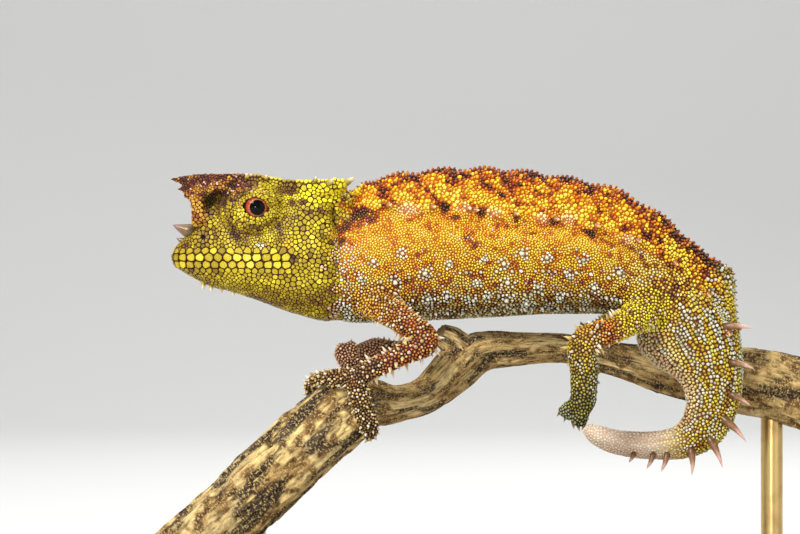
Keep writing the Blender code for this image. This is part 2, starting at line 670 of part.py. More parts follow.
def base_node():
    """A flat plate with round corners and a softened edge."""
    half_x, half_y = BASE_LENGTH / 2 - BASE_CORNER, BASE_WIDTH / 2 - BASE_CORNER
    corner_steps = 6
    rings = []
    for inset, z in ((0, 0), (0, BASE_THICKNESS - BASE_EDGE), (BASE_EDGE, BASE_THICKNESS)):
        ring = []
        for k, (sx, sy) in enumerate(((1, 1), (-1, 1), (-1, -1), (1, -1))):
            for j in range(corner_steps + 1):
                turn = math.pi / 2 * (k + j / corner_steps)
                radius = BASE_CORNER - inset
                ring.append((sx * half_x + radius * math.cos(turn), sy * half_y + radius * math.sin(turn), z))
        rings.append(ring)
    return loft("stand_base", rings)


def rod_node(name, row, branch_cutters):
    x, y, top, _ = along(BRANCH, row)[0]
    turn = math.tau * np.arange(ROD_SIDES) / ROD_SIDES
    ring = np.stack([x + ROD_RADIUS * np.cos(turn), y + ROD_RADIUS * np.sin(turn)], axis=1)
    rings = [[(px, py, z) for px, py in ring] for z in (BASE_THICKNESS + GAP, top)]
    rod = loft(name, rings)
    combine(rod, [branch_cutters()], "DIFFERENCE")
    return rod


def finish(solid, look):
    solid.data.materials.clear()
    solid.data.materials.append(look)
    solid.data.shade_smooth()
    solid.data.set_sharp_from_angle(angle=math.radians(40))


def main():
    clear_scene()
    looks = {
        "head": material("head_skin", (0.62, 0.55, 0.05)),
        "body": material("body_skin", (0.66, 0.35, 0.06)),
        "limb": material("limb_skin", (0.42, 0.18, 0.07)),
        "tail": material("tail_skin", (0.50, 0.48, 0.24)),
        "eye": material("eye", (0.02, 0.01, 0.01), roughness=0.1),
        "branch": material("bark", (0.42, 0.30, 0.14), roughness=0.9),
        "base": material("base_wood", (0.11, 0.07, 0.05), roughness=0.5),
        "rod": material("rod_brass", (0.62, 0.46, 0.22), roughness=0.3, metallic=1.0),
    }

    def body_cutters():
        return body_solid("body_cutter", 0.0, TAIL_SPLITS[0], 0.8 * MM, grow=GAP)

    def branch_cutters():
        return branch_solid("branch_cutter", grow=GAP)

    for name, solid in body_nodes().items():
        finish(solid, looks["tail" if name.startswith("tail") else "body"])
    finish(head_node(), looks["head"])
    for eye in eye_nodes().values():
        finish(eye, looks["eye"])
    for limb in LIMBS:
        for solid in limb_nodes(limb, body_cutters, branch_cutters).values():
            finish(solid, looks["limb"])
    finish(branch_solid("perch"), looks["branch"])
    finish(base_node(), looks["base"])
    for name, row in ROD_ROWS.items():
        finish(rod_node(name, row, branch_cutters), looks["rod"])


main()
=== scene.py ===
"""A life-size iaraka river leaf chameleon on a cut branch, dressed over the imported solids.

Lengths in the sections are millimetres, and mesh_piece turns them into metres. The animal faces -X, so
its left side faces -Y.
"""

import math

import bpy
import numpy as np
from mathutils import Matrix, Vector
from mathutils.bvhtree import BVHTree
from mathutils.kdtree import KDTree


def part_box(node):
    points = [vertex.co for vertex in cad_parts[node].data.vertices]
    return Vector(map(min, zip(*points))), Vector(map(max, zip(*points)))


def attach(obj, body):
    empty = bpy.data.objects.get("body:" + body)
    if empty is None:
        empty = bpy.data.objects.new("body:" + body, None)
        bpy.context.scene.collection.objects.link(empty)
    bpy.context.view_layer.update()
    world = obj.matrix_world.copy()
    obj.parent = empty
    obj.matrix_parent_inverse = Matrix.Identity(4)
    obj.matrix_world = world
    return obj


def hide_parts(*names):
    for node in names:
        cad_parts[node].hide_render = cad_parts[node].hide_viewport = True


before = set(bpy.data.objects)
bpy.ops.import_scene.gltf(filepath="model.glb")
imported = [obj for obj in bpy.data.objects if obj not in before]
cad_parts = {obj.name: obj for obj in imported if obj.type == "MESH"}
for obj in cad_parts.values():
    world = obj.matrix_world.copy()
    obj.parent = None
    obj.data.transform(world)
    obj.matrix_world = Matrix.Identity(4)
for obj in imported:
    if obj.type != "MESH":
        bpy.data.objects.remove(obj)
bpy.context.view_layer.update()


# The display base is a block of dark stained hardwood with round corners. Its top edge is turned over
# above a small step, and the whole is oiled and left satin.

MM = 0.001
STEP_WIDTH, STEP_HEIGHT = 0.35, 1.75
TOP_ROUNDING, FOOT_BEVEL = 0.55, 0.15
CORNER_RADIUS, CORNER_STEPS = 8.0, 16
STEP_RISE, EDGE_STEPS, SHARP_ANGLE = 0.1, 7, math.radians(30)
STAINED_WOOD, WOOD_PORES, PALE_WOOD = (0.085, 0.042, 0.022), (0.03, 0.014, 0.008), 1.9
WOOD_GRAIN, PORE_DEPTH = (45.0, 520.0, 520.0), 0.05


def look(name, **values):
    """A new material. The values go on the shader's own sockets, with _ for each space in a name."""
    made = bpy.data.materials.new(name)
    made.use_nodes = True
    for socket, value in values.items():
        made.node_tree.nodes["Principled BSDF"].inputs[socket.replace("_", " ")].default_value = value
    return made


def feed(finish, kind, inputs, **settings):
    """Adds a node to a material, with each input as a value or as another node's output."""
    node = finish.node_tree.nodes.new(kind)
    for name, value in settings.items():
        setattr(node, name, value)
    for key, value in inputs.items():
        if isinstance(value, bpy.types.NodeSocket):
            finish.node_tree.links.new(value, node.inputs[key])
        else:
            node.inputs[key].default_value = value
    return node


def ramp(finish, factor, stops):
    """The colour at a factor on a ramp through stops of (place, colour)."""
    node = feed(finish, "ShaderNodeValToRGB", {"Fac": factor})
    steps = node.color_ramp.elements
    steps[0].position, steps[1].position = stops[0][0], stops[-1][0]
    steps[0].color, steps[1].color = (*stops[0][1], 1), (*stops[-1][1], 1)
    for place, colour in stops[1:-1]:
        steps.new(place).color = (*colour, 1)
    return node.outputs["Color"]


def into_shader(finish, socket, output):
    finish.node_tree.links.new(output, finish.node_tree.nodes["Principled BSDF"].inputs[socket])


def object_place(finish, stretch=(1.0, 1.0, 1.0)):
    """The Object coordinates times the stretch."""
    place = feed(finish, "ShaderNodeTexCoord", {}).outputs["Object"]
    return feed(finish, "ShaderNodeMapping", {"Vector": place, "Scale": stretch}).outputs[0]


def noise(finish, place, scale, detail, **inputs):
    inputs = {"Vector": place, "Scale": scale, "Detail": detail, **inputs}
    return feed(finish, "ShaderNodeTexNoise", inputs).outputs["Fac"]


def raised(finish, height, depth):
    """Feeds the shader a bump as deep as depth, in metres, where the height goes from 0 to 1."""
    bump = feed(finish, "ShaderNodeBump", {"Height": height, "Distance": depth})
    into_shader(finish, "Normal", bump.outputs["Normal"])


def mesh_piece(name, points, faces, finish):
    """Makes a smooth-shaded mesh piece in metres from points in millimetres. The faces come as arrays, one
    for each number of corners, and are all turned round where they enclose a negative volume."""
    points = np.asarray(points, float)
    volume = 0.0
    for part in faces:
        for k in range(1, part.shape[1] - 1):
            a, b, c = points[part[:, 0]], points[part[:, k]], points[part[:, k + 1]]
            volume += (a * np.cross(b, c)).sum()
    if volume < 0:
        faces = [part[:, ::-1] for part in faces]
    corners = np.concatenate([part.ravel() for part in faces]).astype(np.int32)
    sizes = np.concatenate([np.full(len(part), part.shape[1]) for part in faces])
    mesh = bpy.data.meshes.new(name)
    mesh.vertices.add(len(points))
    mesh.vertices.foreach_set("co", (points * MM).astype(np.float32).ravel())
    mesh.loops.add(len(corners))
    mesh.loops.foreach_set("vertex_index", corners)
    mesh.polygons.add(len(sizes))
    mesh.polygons.foreach_set("loop_start", (np.cumsum(sizes) - sizes).astype(np.int32))
    mesh.update(calc_edges=True)
    mesh.shade_smooth()
    mesh.materials.append(finish)
    piece = bpy.data.objects.new(name, mesh)
    bpy.context.scene.collection.objects.link(piece)
    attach(piece, "root")
    return piece


def ring_faces(count, sides):
    """Quads between rings of equal size, and one flat face over each end."""
    ring = np.arange(count - 1)[:, None] * sides
    here = np.arange(sides)[None]
    following = (here + 1) % sides
    quads = np.stack([ring + here, ring + following, ring + sides + following, ring + sides + here], axis=-1)
    ends = np.stack([np.arange(sides)[::-1], (count - 1) * sides + np.arange(sides)])
    return [quads.reshape(-1, 4), ends]


def plinth_outline(inset):
    """A rectangle's outline with round corners, drawn inwards by the inset: each corner is a quarter turn."""
    low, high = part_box("stand_base")
    half = np.array((high.x - low.x, high.y - low.y)) / MM / 2
    turn = np.linspace(0, math.pi / 2, CORNER_STEPS)
    corners = []
    for k, way in enumerate(((1, 1), (-1, 1), (-1, -1), (1, -1))):
        arc = np.stack([np.cos(turn + k * math.pi / 2), np.sin(turn + k * math.pi / 2)], axis=1)
        corners.append(way * (half - CORNER_RADIUS) + (CORNER_RADIUS - inset) * arc)
    return np.concatenate(corners)


def oiled_wood():
    """Long figure and fine dark pores, both drawn out along X."""
    finish = look("stained_hardwood", Roughness=0.4, Coat_Weight=0.12, Coat_Roughness=0.3)
    grain = object_place(finish, WOOD_GRAIN)
    pores = noise(finish, grain, 5.0, 4.0)
    figure = noise(finish, grain, 0.55, 3.0, Distortion=0.9)
    both = feed(finish, "ShaderNodeMath", {0: figure, 1: pores}, operation="MULTIPLY")
    pale = tuple(PALE_WOOD * part for part in STAINED_WOOD)
    stops = [(0.12, WOOD_PORES), (0.25, STAINED_WOOD), (0.42, pale)]
    into_shader(finish, "Base Color", ramp(finish, both.outputs[0], stops))
    raised(finish, pores, PORE_DEPTH * MM)
    return finish


base_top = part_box("stand_base")[1].z / MM
edge_turn = np.linspace(0, math.pi / 2, EDGE_STEPS)
plinth_rows = [(FOOT_BEVEL, 0.0), (0.0, FOOT_BEVEL), (0.0, STEP_HEIGHT)]
plinth_rows.append((STEP_WIDTH * 0.3, STEP_HEIGHT + STEP_RISE))
plinth_rows += [
    (STEP_WIDTH + TOP_ROUNDING * (1 - math.cos(t)), base_top - TOP_ROUNDING * (1 - math.sin(t)))
    for t in edge_turn
]
plinth_rings = np.concatenate([np.insert(plinth_outline(inset), 2, z, axis=1) for inset, z in plinth_rows])
plinth_faces = ring_faces(len(plinth_rows), 4 * CORNER_STEPS)
plinth = mesh_piece("plinth", plinth_rings, plinth_faces, oiled_wood())
plinth.data.set_sharp_from_angle(angle=SHARP_ANGLE)
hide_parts("stand_base")


# Two satin brass rods, each with a small turned foot on the base, are let into the underside of the
# branch.

ROD_SIDES = 40
FOOT_RADIUS, FOOT_HEIGHT, INTO_BRANCH = 1.7, 0.5, 0.9
BRASS, TARNISH, DRAWN_LINES = (0.72, 0.5, 0.2), (0.46, 0.29, 0.1), (3000.0, 3000.0, 120.0)


def satin_brass():
    """Brass with fine drawn lines up it and a few duller spots."""
    finish = look("satin_brass", Metallic=1.0, Roughness=0.32)
    spots = noise(finish, object_place(finish), 420.0, 4.0)
    into_shader(finish, "Base Color", ramp(finish, spots, [(0.3, TARNISH), (0.55, BRASS)]))
    raised(finish, noise(finish, object_place(finish, DRAWN_LINES), 1.0, 2.0), 0.01 * MM)
    return finish


def full_turn(sides):
    return math.tau * np.arange(sides) / sides


def turned_rings(centre, profile, sides):
    """Rings round an upright axis, one for each (radius, height) of the profile."""
    turn = full_turn(sides)
    radius, height = np.array(profile).T
    x = centre[0] + radius[:, None] * np.cos(turn)
    y = centre[1] + radius[:, None] * np.sin(turn)
    return np.stack([x, y, np.broadcast_to(height[:, None], x.shape)], axis=-1).reshape(-1, 3)


brass = satin_brass()
for rod in ("stand_rod_front", "stand_rod_rear"):
    low, high = (np.array(corner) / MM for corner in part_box(rod))
    radius, bottom = (high[0] - low[0]) / 2, base_top
    profile = [
        (FOOT_RADIUS - 0.1, bottom), (FOOT_RADIUS, bottom + 0.1), (FOOT_RADIUS, bottom + FOOT_HEIGHT - 0.15),
        (FOOT_RADIUS - 0.15, bottom + FOOT_HEIGHT), (radius + 0.25, bottom + FOOT_HEIGHT + 0.05),
        (radius, bottom + FOOT_HEIGHT + 0.3), (radius, high[2] + INTO_BRANCH - 0.2),
        (0.8 * radius, high[2] + INTO_BRANCH),
    ]
    rings = turned_rings((low + high) / 2, profile, ROD_SIDES)
    faces = ring_faces(len(profile), ROD_SIDES)
    piece = mesh_piece(rod.replace("stand_", ""), rings, faces, brass)
    piece.data.set_sharp_from_angle(angle=SHARP_ANGLE)
    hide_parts(rod)


# The perch is a cut length of dead branch under dry bark: fluted, with long cracks, dark stains along the
# grain, patches of tan lichen and pale sapwood, and saw-cut ends.

BRANCH = np.array([
    (-23.1, -2.0, 5.7, 2.75), (-19.4, -2.0, 9.1, 2.72), (-14.2, -2.0, 13.9, 2.7), (-9.4, -1.6, 18.2, 2.6),
    (-7.3, -1.2, 19.0, 1.9), (-5.0, -0.6, 19.0, 1.35), (-2.6, 0.3, 19.7, 1.4), (-0.4, 1.2, 21.6, 1.65),
    (1.6, 1.9, 23.0, 1.55), (4.6, 2.6, 23.2, 1.25), (8.6, 3.6, 23.2, 1.1), (13.4, 4.9, 22.2, 1.35),
    (17.4, 6.0, 21.3, 1.85), (21.6, 6.7, 20.8, 2.4), (25.8, 7.2, 20.0, 2.7), (29.6, 7.6, 18.9, 2.75),
])  # axis (x, y, z) and radius
TWIG_STUB = np.array([(0.6, 1.7, 22.8, 1.3), (-0.6, 1.3, 23.8, 1.1), (-1.6, 0.9, 24.4, 0.8)])
BARK_STEP, BARK_SIDES, STUB_SIDES = 0.125, 128, 64
FLUTES, CRACK_DEPTH, FIBRE_DEPTH, SCAR_DEPTH = 0.07, 0.26, 0.05, 0.12
BARK_TAN, BARK_BROWN, BARK_STAIN = (0.4, 0.25, 0.088), (0.19, 0.098, 0.034), (0.026, 0.016, 0.018)
LICHEN, SAPWOOD, END_GRAIN = (0.92, 0.68, 0.28), (0.7, 0.52, 0.24), (0.5, 0.33, 0.16)
OLD_BARK_END, STRAIGHT_RADIUS, THICK_BARK_RADIUS = (20.0, 24.0), 2.2, 2.0
END_SHARES, END_DROPS = (0.99, 0.955, 0.93, 0.7, 0.45, 0.2, 0.02), (0.06, 0.1, 0.03, 0.05, 0.05, 0.04, 0.04)
RINGS_OF_AGE, SPECK_COLOUR = 16, (0.64, 0.46, 0.17, 1)
FIBRE_SHADES = [(0.32, (0.3, 0.26, 0.25)), (0.5, (0.92, 0.9, 0.88)), (0.68, (1.3, 1.26, 1.18))]


def curve_between(a, b, c, d, f):
    """The smooth curve from b to c at a share f of the way, where a and d lie before and after."""
    return b + 0.5 * f * ((c - a) + f * ((2 * a - 5 * b + 4 * c - d) + f * (3 * (b - c) + d - a)))


def along(rows, at):
    """The table's rows read at fractional row numbers, on the curve through the rows."""
    at = np.atleast_1d(np.asarray(at, float))
    first = np.clip(np.floor(at).astype(int), 0, len(rows) - 2)
    f = (at - first)[:, None]
    padded = np.vstack([2 * rows[0] - rows[1], rows, 2 * rows[-1] - rows[-2]])
    return curve_between(*(padded[first + k] for k in range(4)), f)


def length_along(path):
    """The length from the start of a polyline to each of its points."""
    return np.concatenate([[0.0], np.cumsum(np.linalg.norm(np.diff(path, axis=0), axis=1))])


def even_places(rows, step):
    """Fractional row numbers that stand about a step apart along the curve through the rows."""
    fine = np.linspace(0, len(rows) - 1, 60 * len(rows))
    length = length_along(along(rows, fine)[:, :3])
    even = np.linspace(0, length[-1], max(3, round(length[-1] / step) + 1))
    return np.interp(even, length, fine), even


def unit(v):
    return v / np.linalg.norm(v, axis=-1, keepdims=True)


def turned(turn, first, second):
    """The directions at the turns, in radians, from the first towards the second."""
    return np.cos(turn)[..., None] * first + np.sin(turn)[..., None] * second


def carried_frames(aims, reference):
    """Two directions across each aim, each pair turned as little as can be from the pair before."""
    across, made = unit(np.cross(aims[0], reference)), []
    for aim in unit(aims):
        across = unit(across - aim * np.dot(across, aim))
        made.append((across, np.cross(aim, across)))
    return np.array(made)[:, 0], np.array(made)[:, 1]


def waves(points, size, seed, count=28):
    """A smooth random field: the sum of plane waves in random directions, each about a size long, scaled
    to a spread of 1."""
    draw = np.random.default_rng(seed)
    aims = unit(draw.normal(size=(count, 3))) * (math.tau / size) * draw.uniform(0.6, 1.4, (count, 1))
    return np.sin(points @ aims.T + draw.uniform(0, math.tau, count)).sum(axis=-1) * math.sqrt(2 / count)


def hump(distance, width, power=2):
    """1 where the distance is 0, down to 1 / e where it is the width."""
    return np.exp(-(distance / width) ** power)


def eased(low, high, value):
    """0 below low and 1 above high, with an even S between them."""
    t = np.clip((value - low) / (high - low), 0, 1)
    return t * t * (3 - 2 * t)


def mixed(first, second, share):
    """The second colour over the first one by the share, from 0 to 1."""
    share = np.asarray(share)[..., None]
    return np.asarray(first) * (1 - share) + np.asarray(second) * share


def paint(piece, colours):
    """Keeps a colour for each vertex of a piece, for its material to read."""
    layer = piece.data.attributes.new("tone", "FLOAT_COLOR", "POINT")
    opaque = np.insert(colours.reshape(-1, 3), 3, 1.0, axis=1)
    layer.data.foreach_set("color", opaque.astype(np.float32).ravel())


def keep_vectors(piece, name, vectors):
    """Keeps a vector for each vertex of a piece, for its material to read."""
    layer = piece.data.attributes.new(name, "FLOAT_VECTOR", "POINT")
    layer.data.foreach_set("vector", vectors.astype(np.float32).ravel())


def bark_surface(rows, step, sides, flutes_start, seed):
    """Points, colours and straightened places of a stick in bark. The radius is the table's, with flutes
    that wind along it, cracks where a long random field crosses zero, fine fibres and shallow scars. Each
    end closes over the edge of the bark onto the wood."""
    at, length = even_places(rows, step)
    placed = along(rows, at)
    across, beside = carried_frames(np.gradient(placed[:, :3], axis=0), np.array((0.2, 0.9, 0.1)))
    turn = full_turn(sides)[None]
    c, s = STRAIGHT_RADIUS * np.cos(turn), STRAIGHT_RADIUS * np.sin(turn)
    straight = np.stack(np.broadcast_arrays(length[:, None], c, s), axis=-1)

    def field(stretch, size, number):
        return waves(straight / (stretch, 1, 1), size, seed + number)

    winding = at[:, None] + flutes_start
    flutes = 0.6 * np.sin(5 * turn + 0.9 * winding) + 0.4 * np.sin(3 * turn - 1.7 * winding)
    crack = hump(field(5.5, 1.5, 0), 0.16) * eased(-0.6, 0.8, field(1, 5.0, 3))
    crack = np.maximum(crack, 0.6 * hump(field(9.0, 0.55, 1), 0.2))
    fibres, scars = field(14.0, 0.34, 4), eased(0.5, 0.9, field(2.5, 2.6, 2))
    thick = np.clip(placed[:, 3:4] / THICK_BARK_RADIUS, 0.55, 1.0)
    relief = 0.5 * CRACK_DEPTH - CRACK_DEPTH * crack + FIBRE_DEPTH * fibres - SCAR_DEPTH * scars
    radius = placed[:, 3:4] * (1 + FLUTES * flutes) + thick * relief
    old, lumps = eased(*OLD_BARK_END[::-1], length)[:, None], field(1.3, 0.9, 5)
    colour = mixed(BARK_BROWN, BARK_TAN, eased(-1.0, 0.9, lumps + 0.4 * fibres))
    crust = eased(0.1, 0.7, field(1.4, 1.7, 6) + 0.5 * lumps)
    colour = mixed(colour, LICHEN, (0.35 + 0.6 * old) * crust)
    colour = mixed(colour, SAPWOOD, eased(0.9, 1.5, field(2.6, 2.3, 7) + 0.35 * lumps))
    stain = eased(0.2, 0.6, field(3.2, 1.5, 8) + 0.4 * fibres - 0.45 * (1 - old))
    colour = mixed(colour, BARK_STAIN, 0.92 * stain)
    # Colour is darkened in the cracks as painted shade, and lightened a little along the fibres.
    colour = colour * (1 - 0.8 * crack[..., None]) * (1 + 0.1 * fibres[..., None])
    rings = placed[:, None, :3] + radius[..., None] * turned(turn, across[:, None], beside[:, None])
    return rings, np.clip(colour, 0.004, 1), straight


def sawn_end(rings, straight, far):
    """The rings that close an end: over the bark's edge, then over end grain to the middle."""
    edge, inner = (-1, -2) if far else (0, 1)
    middle = rings[edge].mean(axis=0)
    shares, drops = np.array(END_SHARES)[:, None, None], np.array(END_DROPS)[:, None, None]
    caps = middle + shares * (rings[edge] - middle) + drops * unit(middle - rings[inner].mean(axis=0))
    place = np.array(np.broadcast_to(straight[edge], caps.shape))
    place[..., 1:] *= shares
    rough = waves(place * (0, 1, 1), 0.5, 71)[..., None]
    rings_of_age = np.sin(RINGS_OF_AGE * np.linalg.norm(place[..., 1:], axis=-1))[..., None]
    colour = np.array(END_GRAIN) * (1 + 0.1 * rings_of_age + 0.12 * rough)
    colour[0:2] = np.array(BARK_BROWN) * (1 + 0.2 * rough[0:2])
    return (caps, colour, place) if far else (caps[::-1], colour[::-1], place[::-1])


def attribute(finish, name, output="Color"):
    return feed(finish, "ShaderNodeAttribute", {}, attribute_name=name).outputs[output]


def blended(finish, factor, first, second, blend_type="MULTIPLY"):
    inputs = {0: factor, 6: first, 7: second}
    node = feed(finish, "ShaderNodeMix", inputs, data_type="RGBA", blend_type=blend_type)
    return node.outputs[2]


def dry_bark():
    """Bark and end grain: the painted colour, broken up by fibres and specks of lichen that follow the
    straightened places, with a fine bump."""
    finish = look("dry_bark", Roughness=0.86, Specular_IOR_Level=0.25)
    place = attribute(finish, "straight", "Vector")
    drawn = feed(finish, "ShaderNodeMapping", {"Vector": place, "Scale": (0.3, 1.0, 1.0)}).outputs[0]
    fibres = noise(finish, drawn, 5.0, 5.0, Roughness=0.65)
    specks = noise(finish, place, 6.0, 3.0, Roughness=0.7)
    streaked = blended(finish, 1.0, attribute(finish, "tone"), ramp(finish, fibres, FIBRE_SHADES))
    speck = ramp(finish, specks, [(0.53, (0, 0, 0)), (0.6, (0.8, 0.8, 0.8))])
    into_shader(finish, "Base Color", blended(finish, speck, streaked, SPECK_COLOUR, "MIX"))
    both = feed(finish, "ShaderNodeMath", {0: fibres, 1: specks}, operation="ADD")
    raised(finish, both.outputs[0], 0.1 * MM)
    return finish


def stick_piece(name, rows, sides, flutes_start, seed, finish):
    body = bark_surface(rows, BARK_STEP, sides, flutes_start, seed)
    parts = [sawn_end(body[0], body[2], False), body, sawn_end(body[0], body[2], True)]
    rings, colour, straight = (np.concatenate([np.asarray(part[k]) for part in parts]) for k in range(3))
    piece = mesh_piece(name, rings.reshape(-1, 3), ring_faces(len(rings), sides), finish)
    paint(piece, colour)
    keep_vectors(piece, "straight", straight)
    return piece


bark = dry_bark()
perch = stick_piece("branch", BRANCH, BARK_SIDES, 0.0, 11, bark)
stick_piece("twig_stub", TWIG_STUB, STUB_SIDES, 3.0, 23, bark)
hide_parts("perch")


# The skin is one surface over the whole animal: body and tail, head with its flat helmet, toothed brow
# crests and eye turrets, and four limbs with joined toes. The forms are lofted, fused and smoothed, and
# folds and pits are pressed in. It lies a coat's depth inside the solids.

COAT = 0.1
STATIONS = np.array([
    (-9.9, 0.0, 30.4, 5.1, 4.8, 3.1, 1.5, 1.0), (-8.4, 0.0, 30.4, 4.9, 5.1, 3.1, 1.8, 1.2),
    (-6.4, 0.0, 30.7, 5.8, 5.4, 3.2, 2.1, 1.7), (-4.2, 0.1, 31.1, 6.0, 5.7, 3.45, 2.35, 2.2),
    (-0.8, 0.3, 31.5, 6.0, 5.9, 3.8, 2.6, 2.9), (3.2, 0.6, 31.6, 5.9, 5.8, 4.00, 2.75, 3.2),
    (7.2, 0.9, 31.5, 5.5, 5.5, 3.9, 2.65, 3.2), (11.2, 1.2, 31.0, 5.1, 5.1, 3.6, 2.45, 3.0),
    (14.4, 1.5, 29.8, 4.3, 4.4, 3.2, 2.15, 2.4), (16.8, 1.7, 28.0, 3.9, 4.0, 2.9, 1.85, 1.8),
    (18.6, 1.9, 25.6, 3.7, 4.8, 2.7, 1.55, 1.3), (19.7, 2.0, 23.2, 3.2, 4.2, 2.3, 1.25, 0.9),
    (20.2, 2.1, 20.8, 2.75, 2.5, 1.9, 1.05, 0.7), (20.1, 2.2, 18.8, 2.5, 1.9, 1.6, 0.9, 0.6),
    (19.4, 2.3, 17.0, 2.2, 1.6, 1.45, 0.8, 0.5), (18.0, 2.5, 15.8, 1.6, 1.4, 1.3, 0.75, 0.5),
    (15.7, 2.7, 15.4, 1.25, 1.25, 1.15, 0.6, 0.4), (13.0, 2.9, 15.6, 1.12, 1.12, 1.05, 0.5, 0.3),
    (11.2, 3.0, 16.2, 0.95, 0.95, 0.88, 0.4, 0.2), (10.2, 3.0, 16.9, 0.55, 0.55, 0.52, 0.2, 0.1),
])  # spine line (x, y, z), reach to back, belly and side, half width of the roof, drop to its edge
LOBE_START, LOBE_PITCH, LOBES, LOBE_SLANT = 1.0, 3.1, 10, 1.6
KEEL_RISE, EDGE_FLARE, HIP_LOBE = 0.35, 0.32, ((27.9, 29.3, 31.1), (0.0, 1.3, 0.0))
TAIL_START = LOBE_START + 9 * LOBE_PITCH
HEAD = np.array([
    (-23.0, 31.0, 30.5, 30.2, 0.5), (-22.7, 31.5, 30.4, 29.8, 1.0), (-22.1, 32.2, 30.3, 29.4, 1.6),
    (-21.1, 33.1, 30.3, 28.8, 2.1), (-20.3, 33.9, 30.3, 28.4, 2.4), (-19.6, 35.2, 30.3, 28.1, 2.6),
    (-18.6, 36.3, 30.3, 27.9, 2.9), (-16.4, 36.6, 30.3, 27.2, 3.2), (-14.0, 36.4, 30.3, 26.3, 3.45),
    (-11.6, 36.2, 30.3, 25.6, 3.6), (-10.2, 36.0, 30.3, 25.4, 3.4),
])  # x, heights of crown, lip and chin, half width at the lips
HELMET = np.array([
    (-20.0, 1.5, 37.1, 36.2), (-18.6, 2.3, 37.3, 35.8), (-16.4, 2.75, 37.3, 35.7), (-14.0, 2.55, 36.9, 35.6),
    (-12.0, 2.9, 36.8, 35.5), (-10.2, 3.2, 36.9, 35.8), (-9.1, 2.7, 36.9, 36.2),
])  # x, half width, heights of rim and underside
BROW_CREST = np.array([
    (-23.1, 36.8), (-21.6, 37.1), (-19.7, 37.2), (-17.9, 37.2), (-17.9, 36.0), (-19.5, 35.9), (-20.3, 35.4),
    (-20.4, 34.6), (-20.1, 33.4), (-21.3, 33.0), (-21.35, 33.6), (-21.3, 34.2), (-21.35, 34.8),
    (-21.55, 35.2), (-22.0, 35.5), (-21.6, 35.8), (-22.6, 36.0), (-21.8, 36.3),
])  # side outline (x, z)
CREST_INNER, CREST_THICKNESS, CREST_LEAN = 1.35, 0.7, 0.25
TURRET_CENTRE, TURRET_RADII = np.array((-16.5, 1.6, 34.3)), np.array((3.0, 2.5, 2.45))
EYE_CENTRE, EYE_RADIUS = np.array((-16.2, 2.95, 34.6)), 1.27
PIT_WALL = (np.array((-19.9, 0.0, 35.0)), np.array((0.9, 1.3, 1.4)))
PIT_FLOOR = (np.array((-19.9, 0.0, 33.75)), np.array((1.2, 2.25, 1.0)))
NAPE_INTO_HEAD, NAPE = 1.4, (np.array((-9.7, 0.0, 35.0)), np.array((1.4, 2.4, 0.95)))
LIP_HEIGHT, MOUTH_CORNER, LIP_BULGE = 30.3, -13.7, 0.15
EYE_ROOM, NOSTRIL, NOSTRIL_RADIUS = 2.9, np.array((-20.4, 2.3, 32.2)), 0.2
LIMBS = {
    "arm_left": [(-7.0, -1.6, 27.2, 1.45), (-4.5, -3.9, 25.6, 1.15), (-2.75, -4.7, 24.0, 1.1),
                 (-4.6, -4.9, 22.95, 0.9), (-7.4, -4.5, 21.65, 0.88)],
    "arm_right": [(-7.0, 1.8, 27.2, 1.45), (-4.95, 4.2, 26.2, 1.0), (-3.1, 5.2, 23.6, 1.05),
                  (-4.8, 4.9, 23.0, 0.88), (-6.8, 4.0, 23.3, 0.88)],
    "leg_left": [(15.2, 0.2, 26.6, 1.7), (12.6, -2.4, 25.1, 1.15), (9.75, -3.9, 23.85, 1.25),
                 (9.7, -3.8, 21.6, 1.2), (9.7, -3.6, 19.4, 1.1)],
    "leg_right": [(15.2, 2.8, 26.6, 1.7), (13.9, 5.0, 26.0, 1.2), (12.7, 6.7, 25.3, 1.1),
                  (12.0, 5.9, 24.9, 0.95), (11.25, 5.3, 24.5, 0.85)],
}
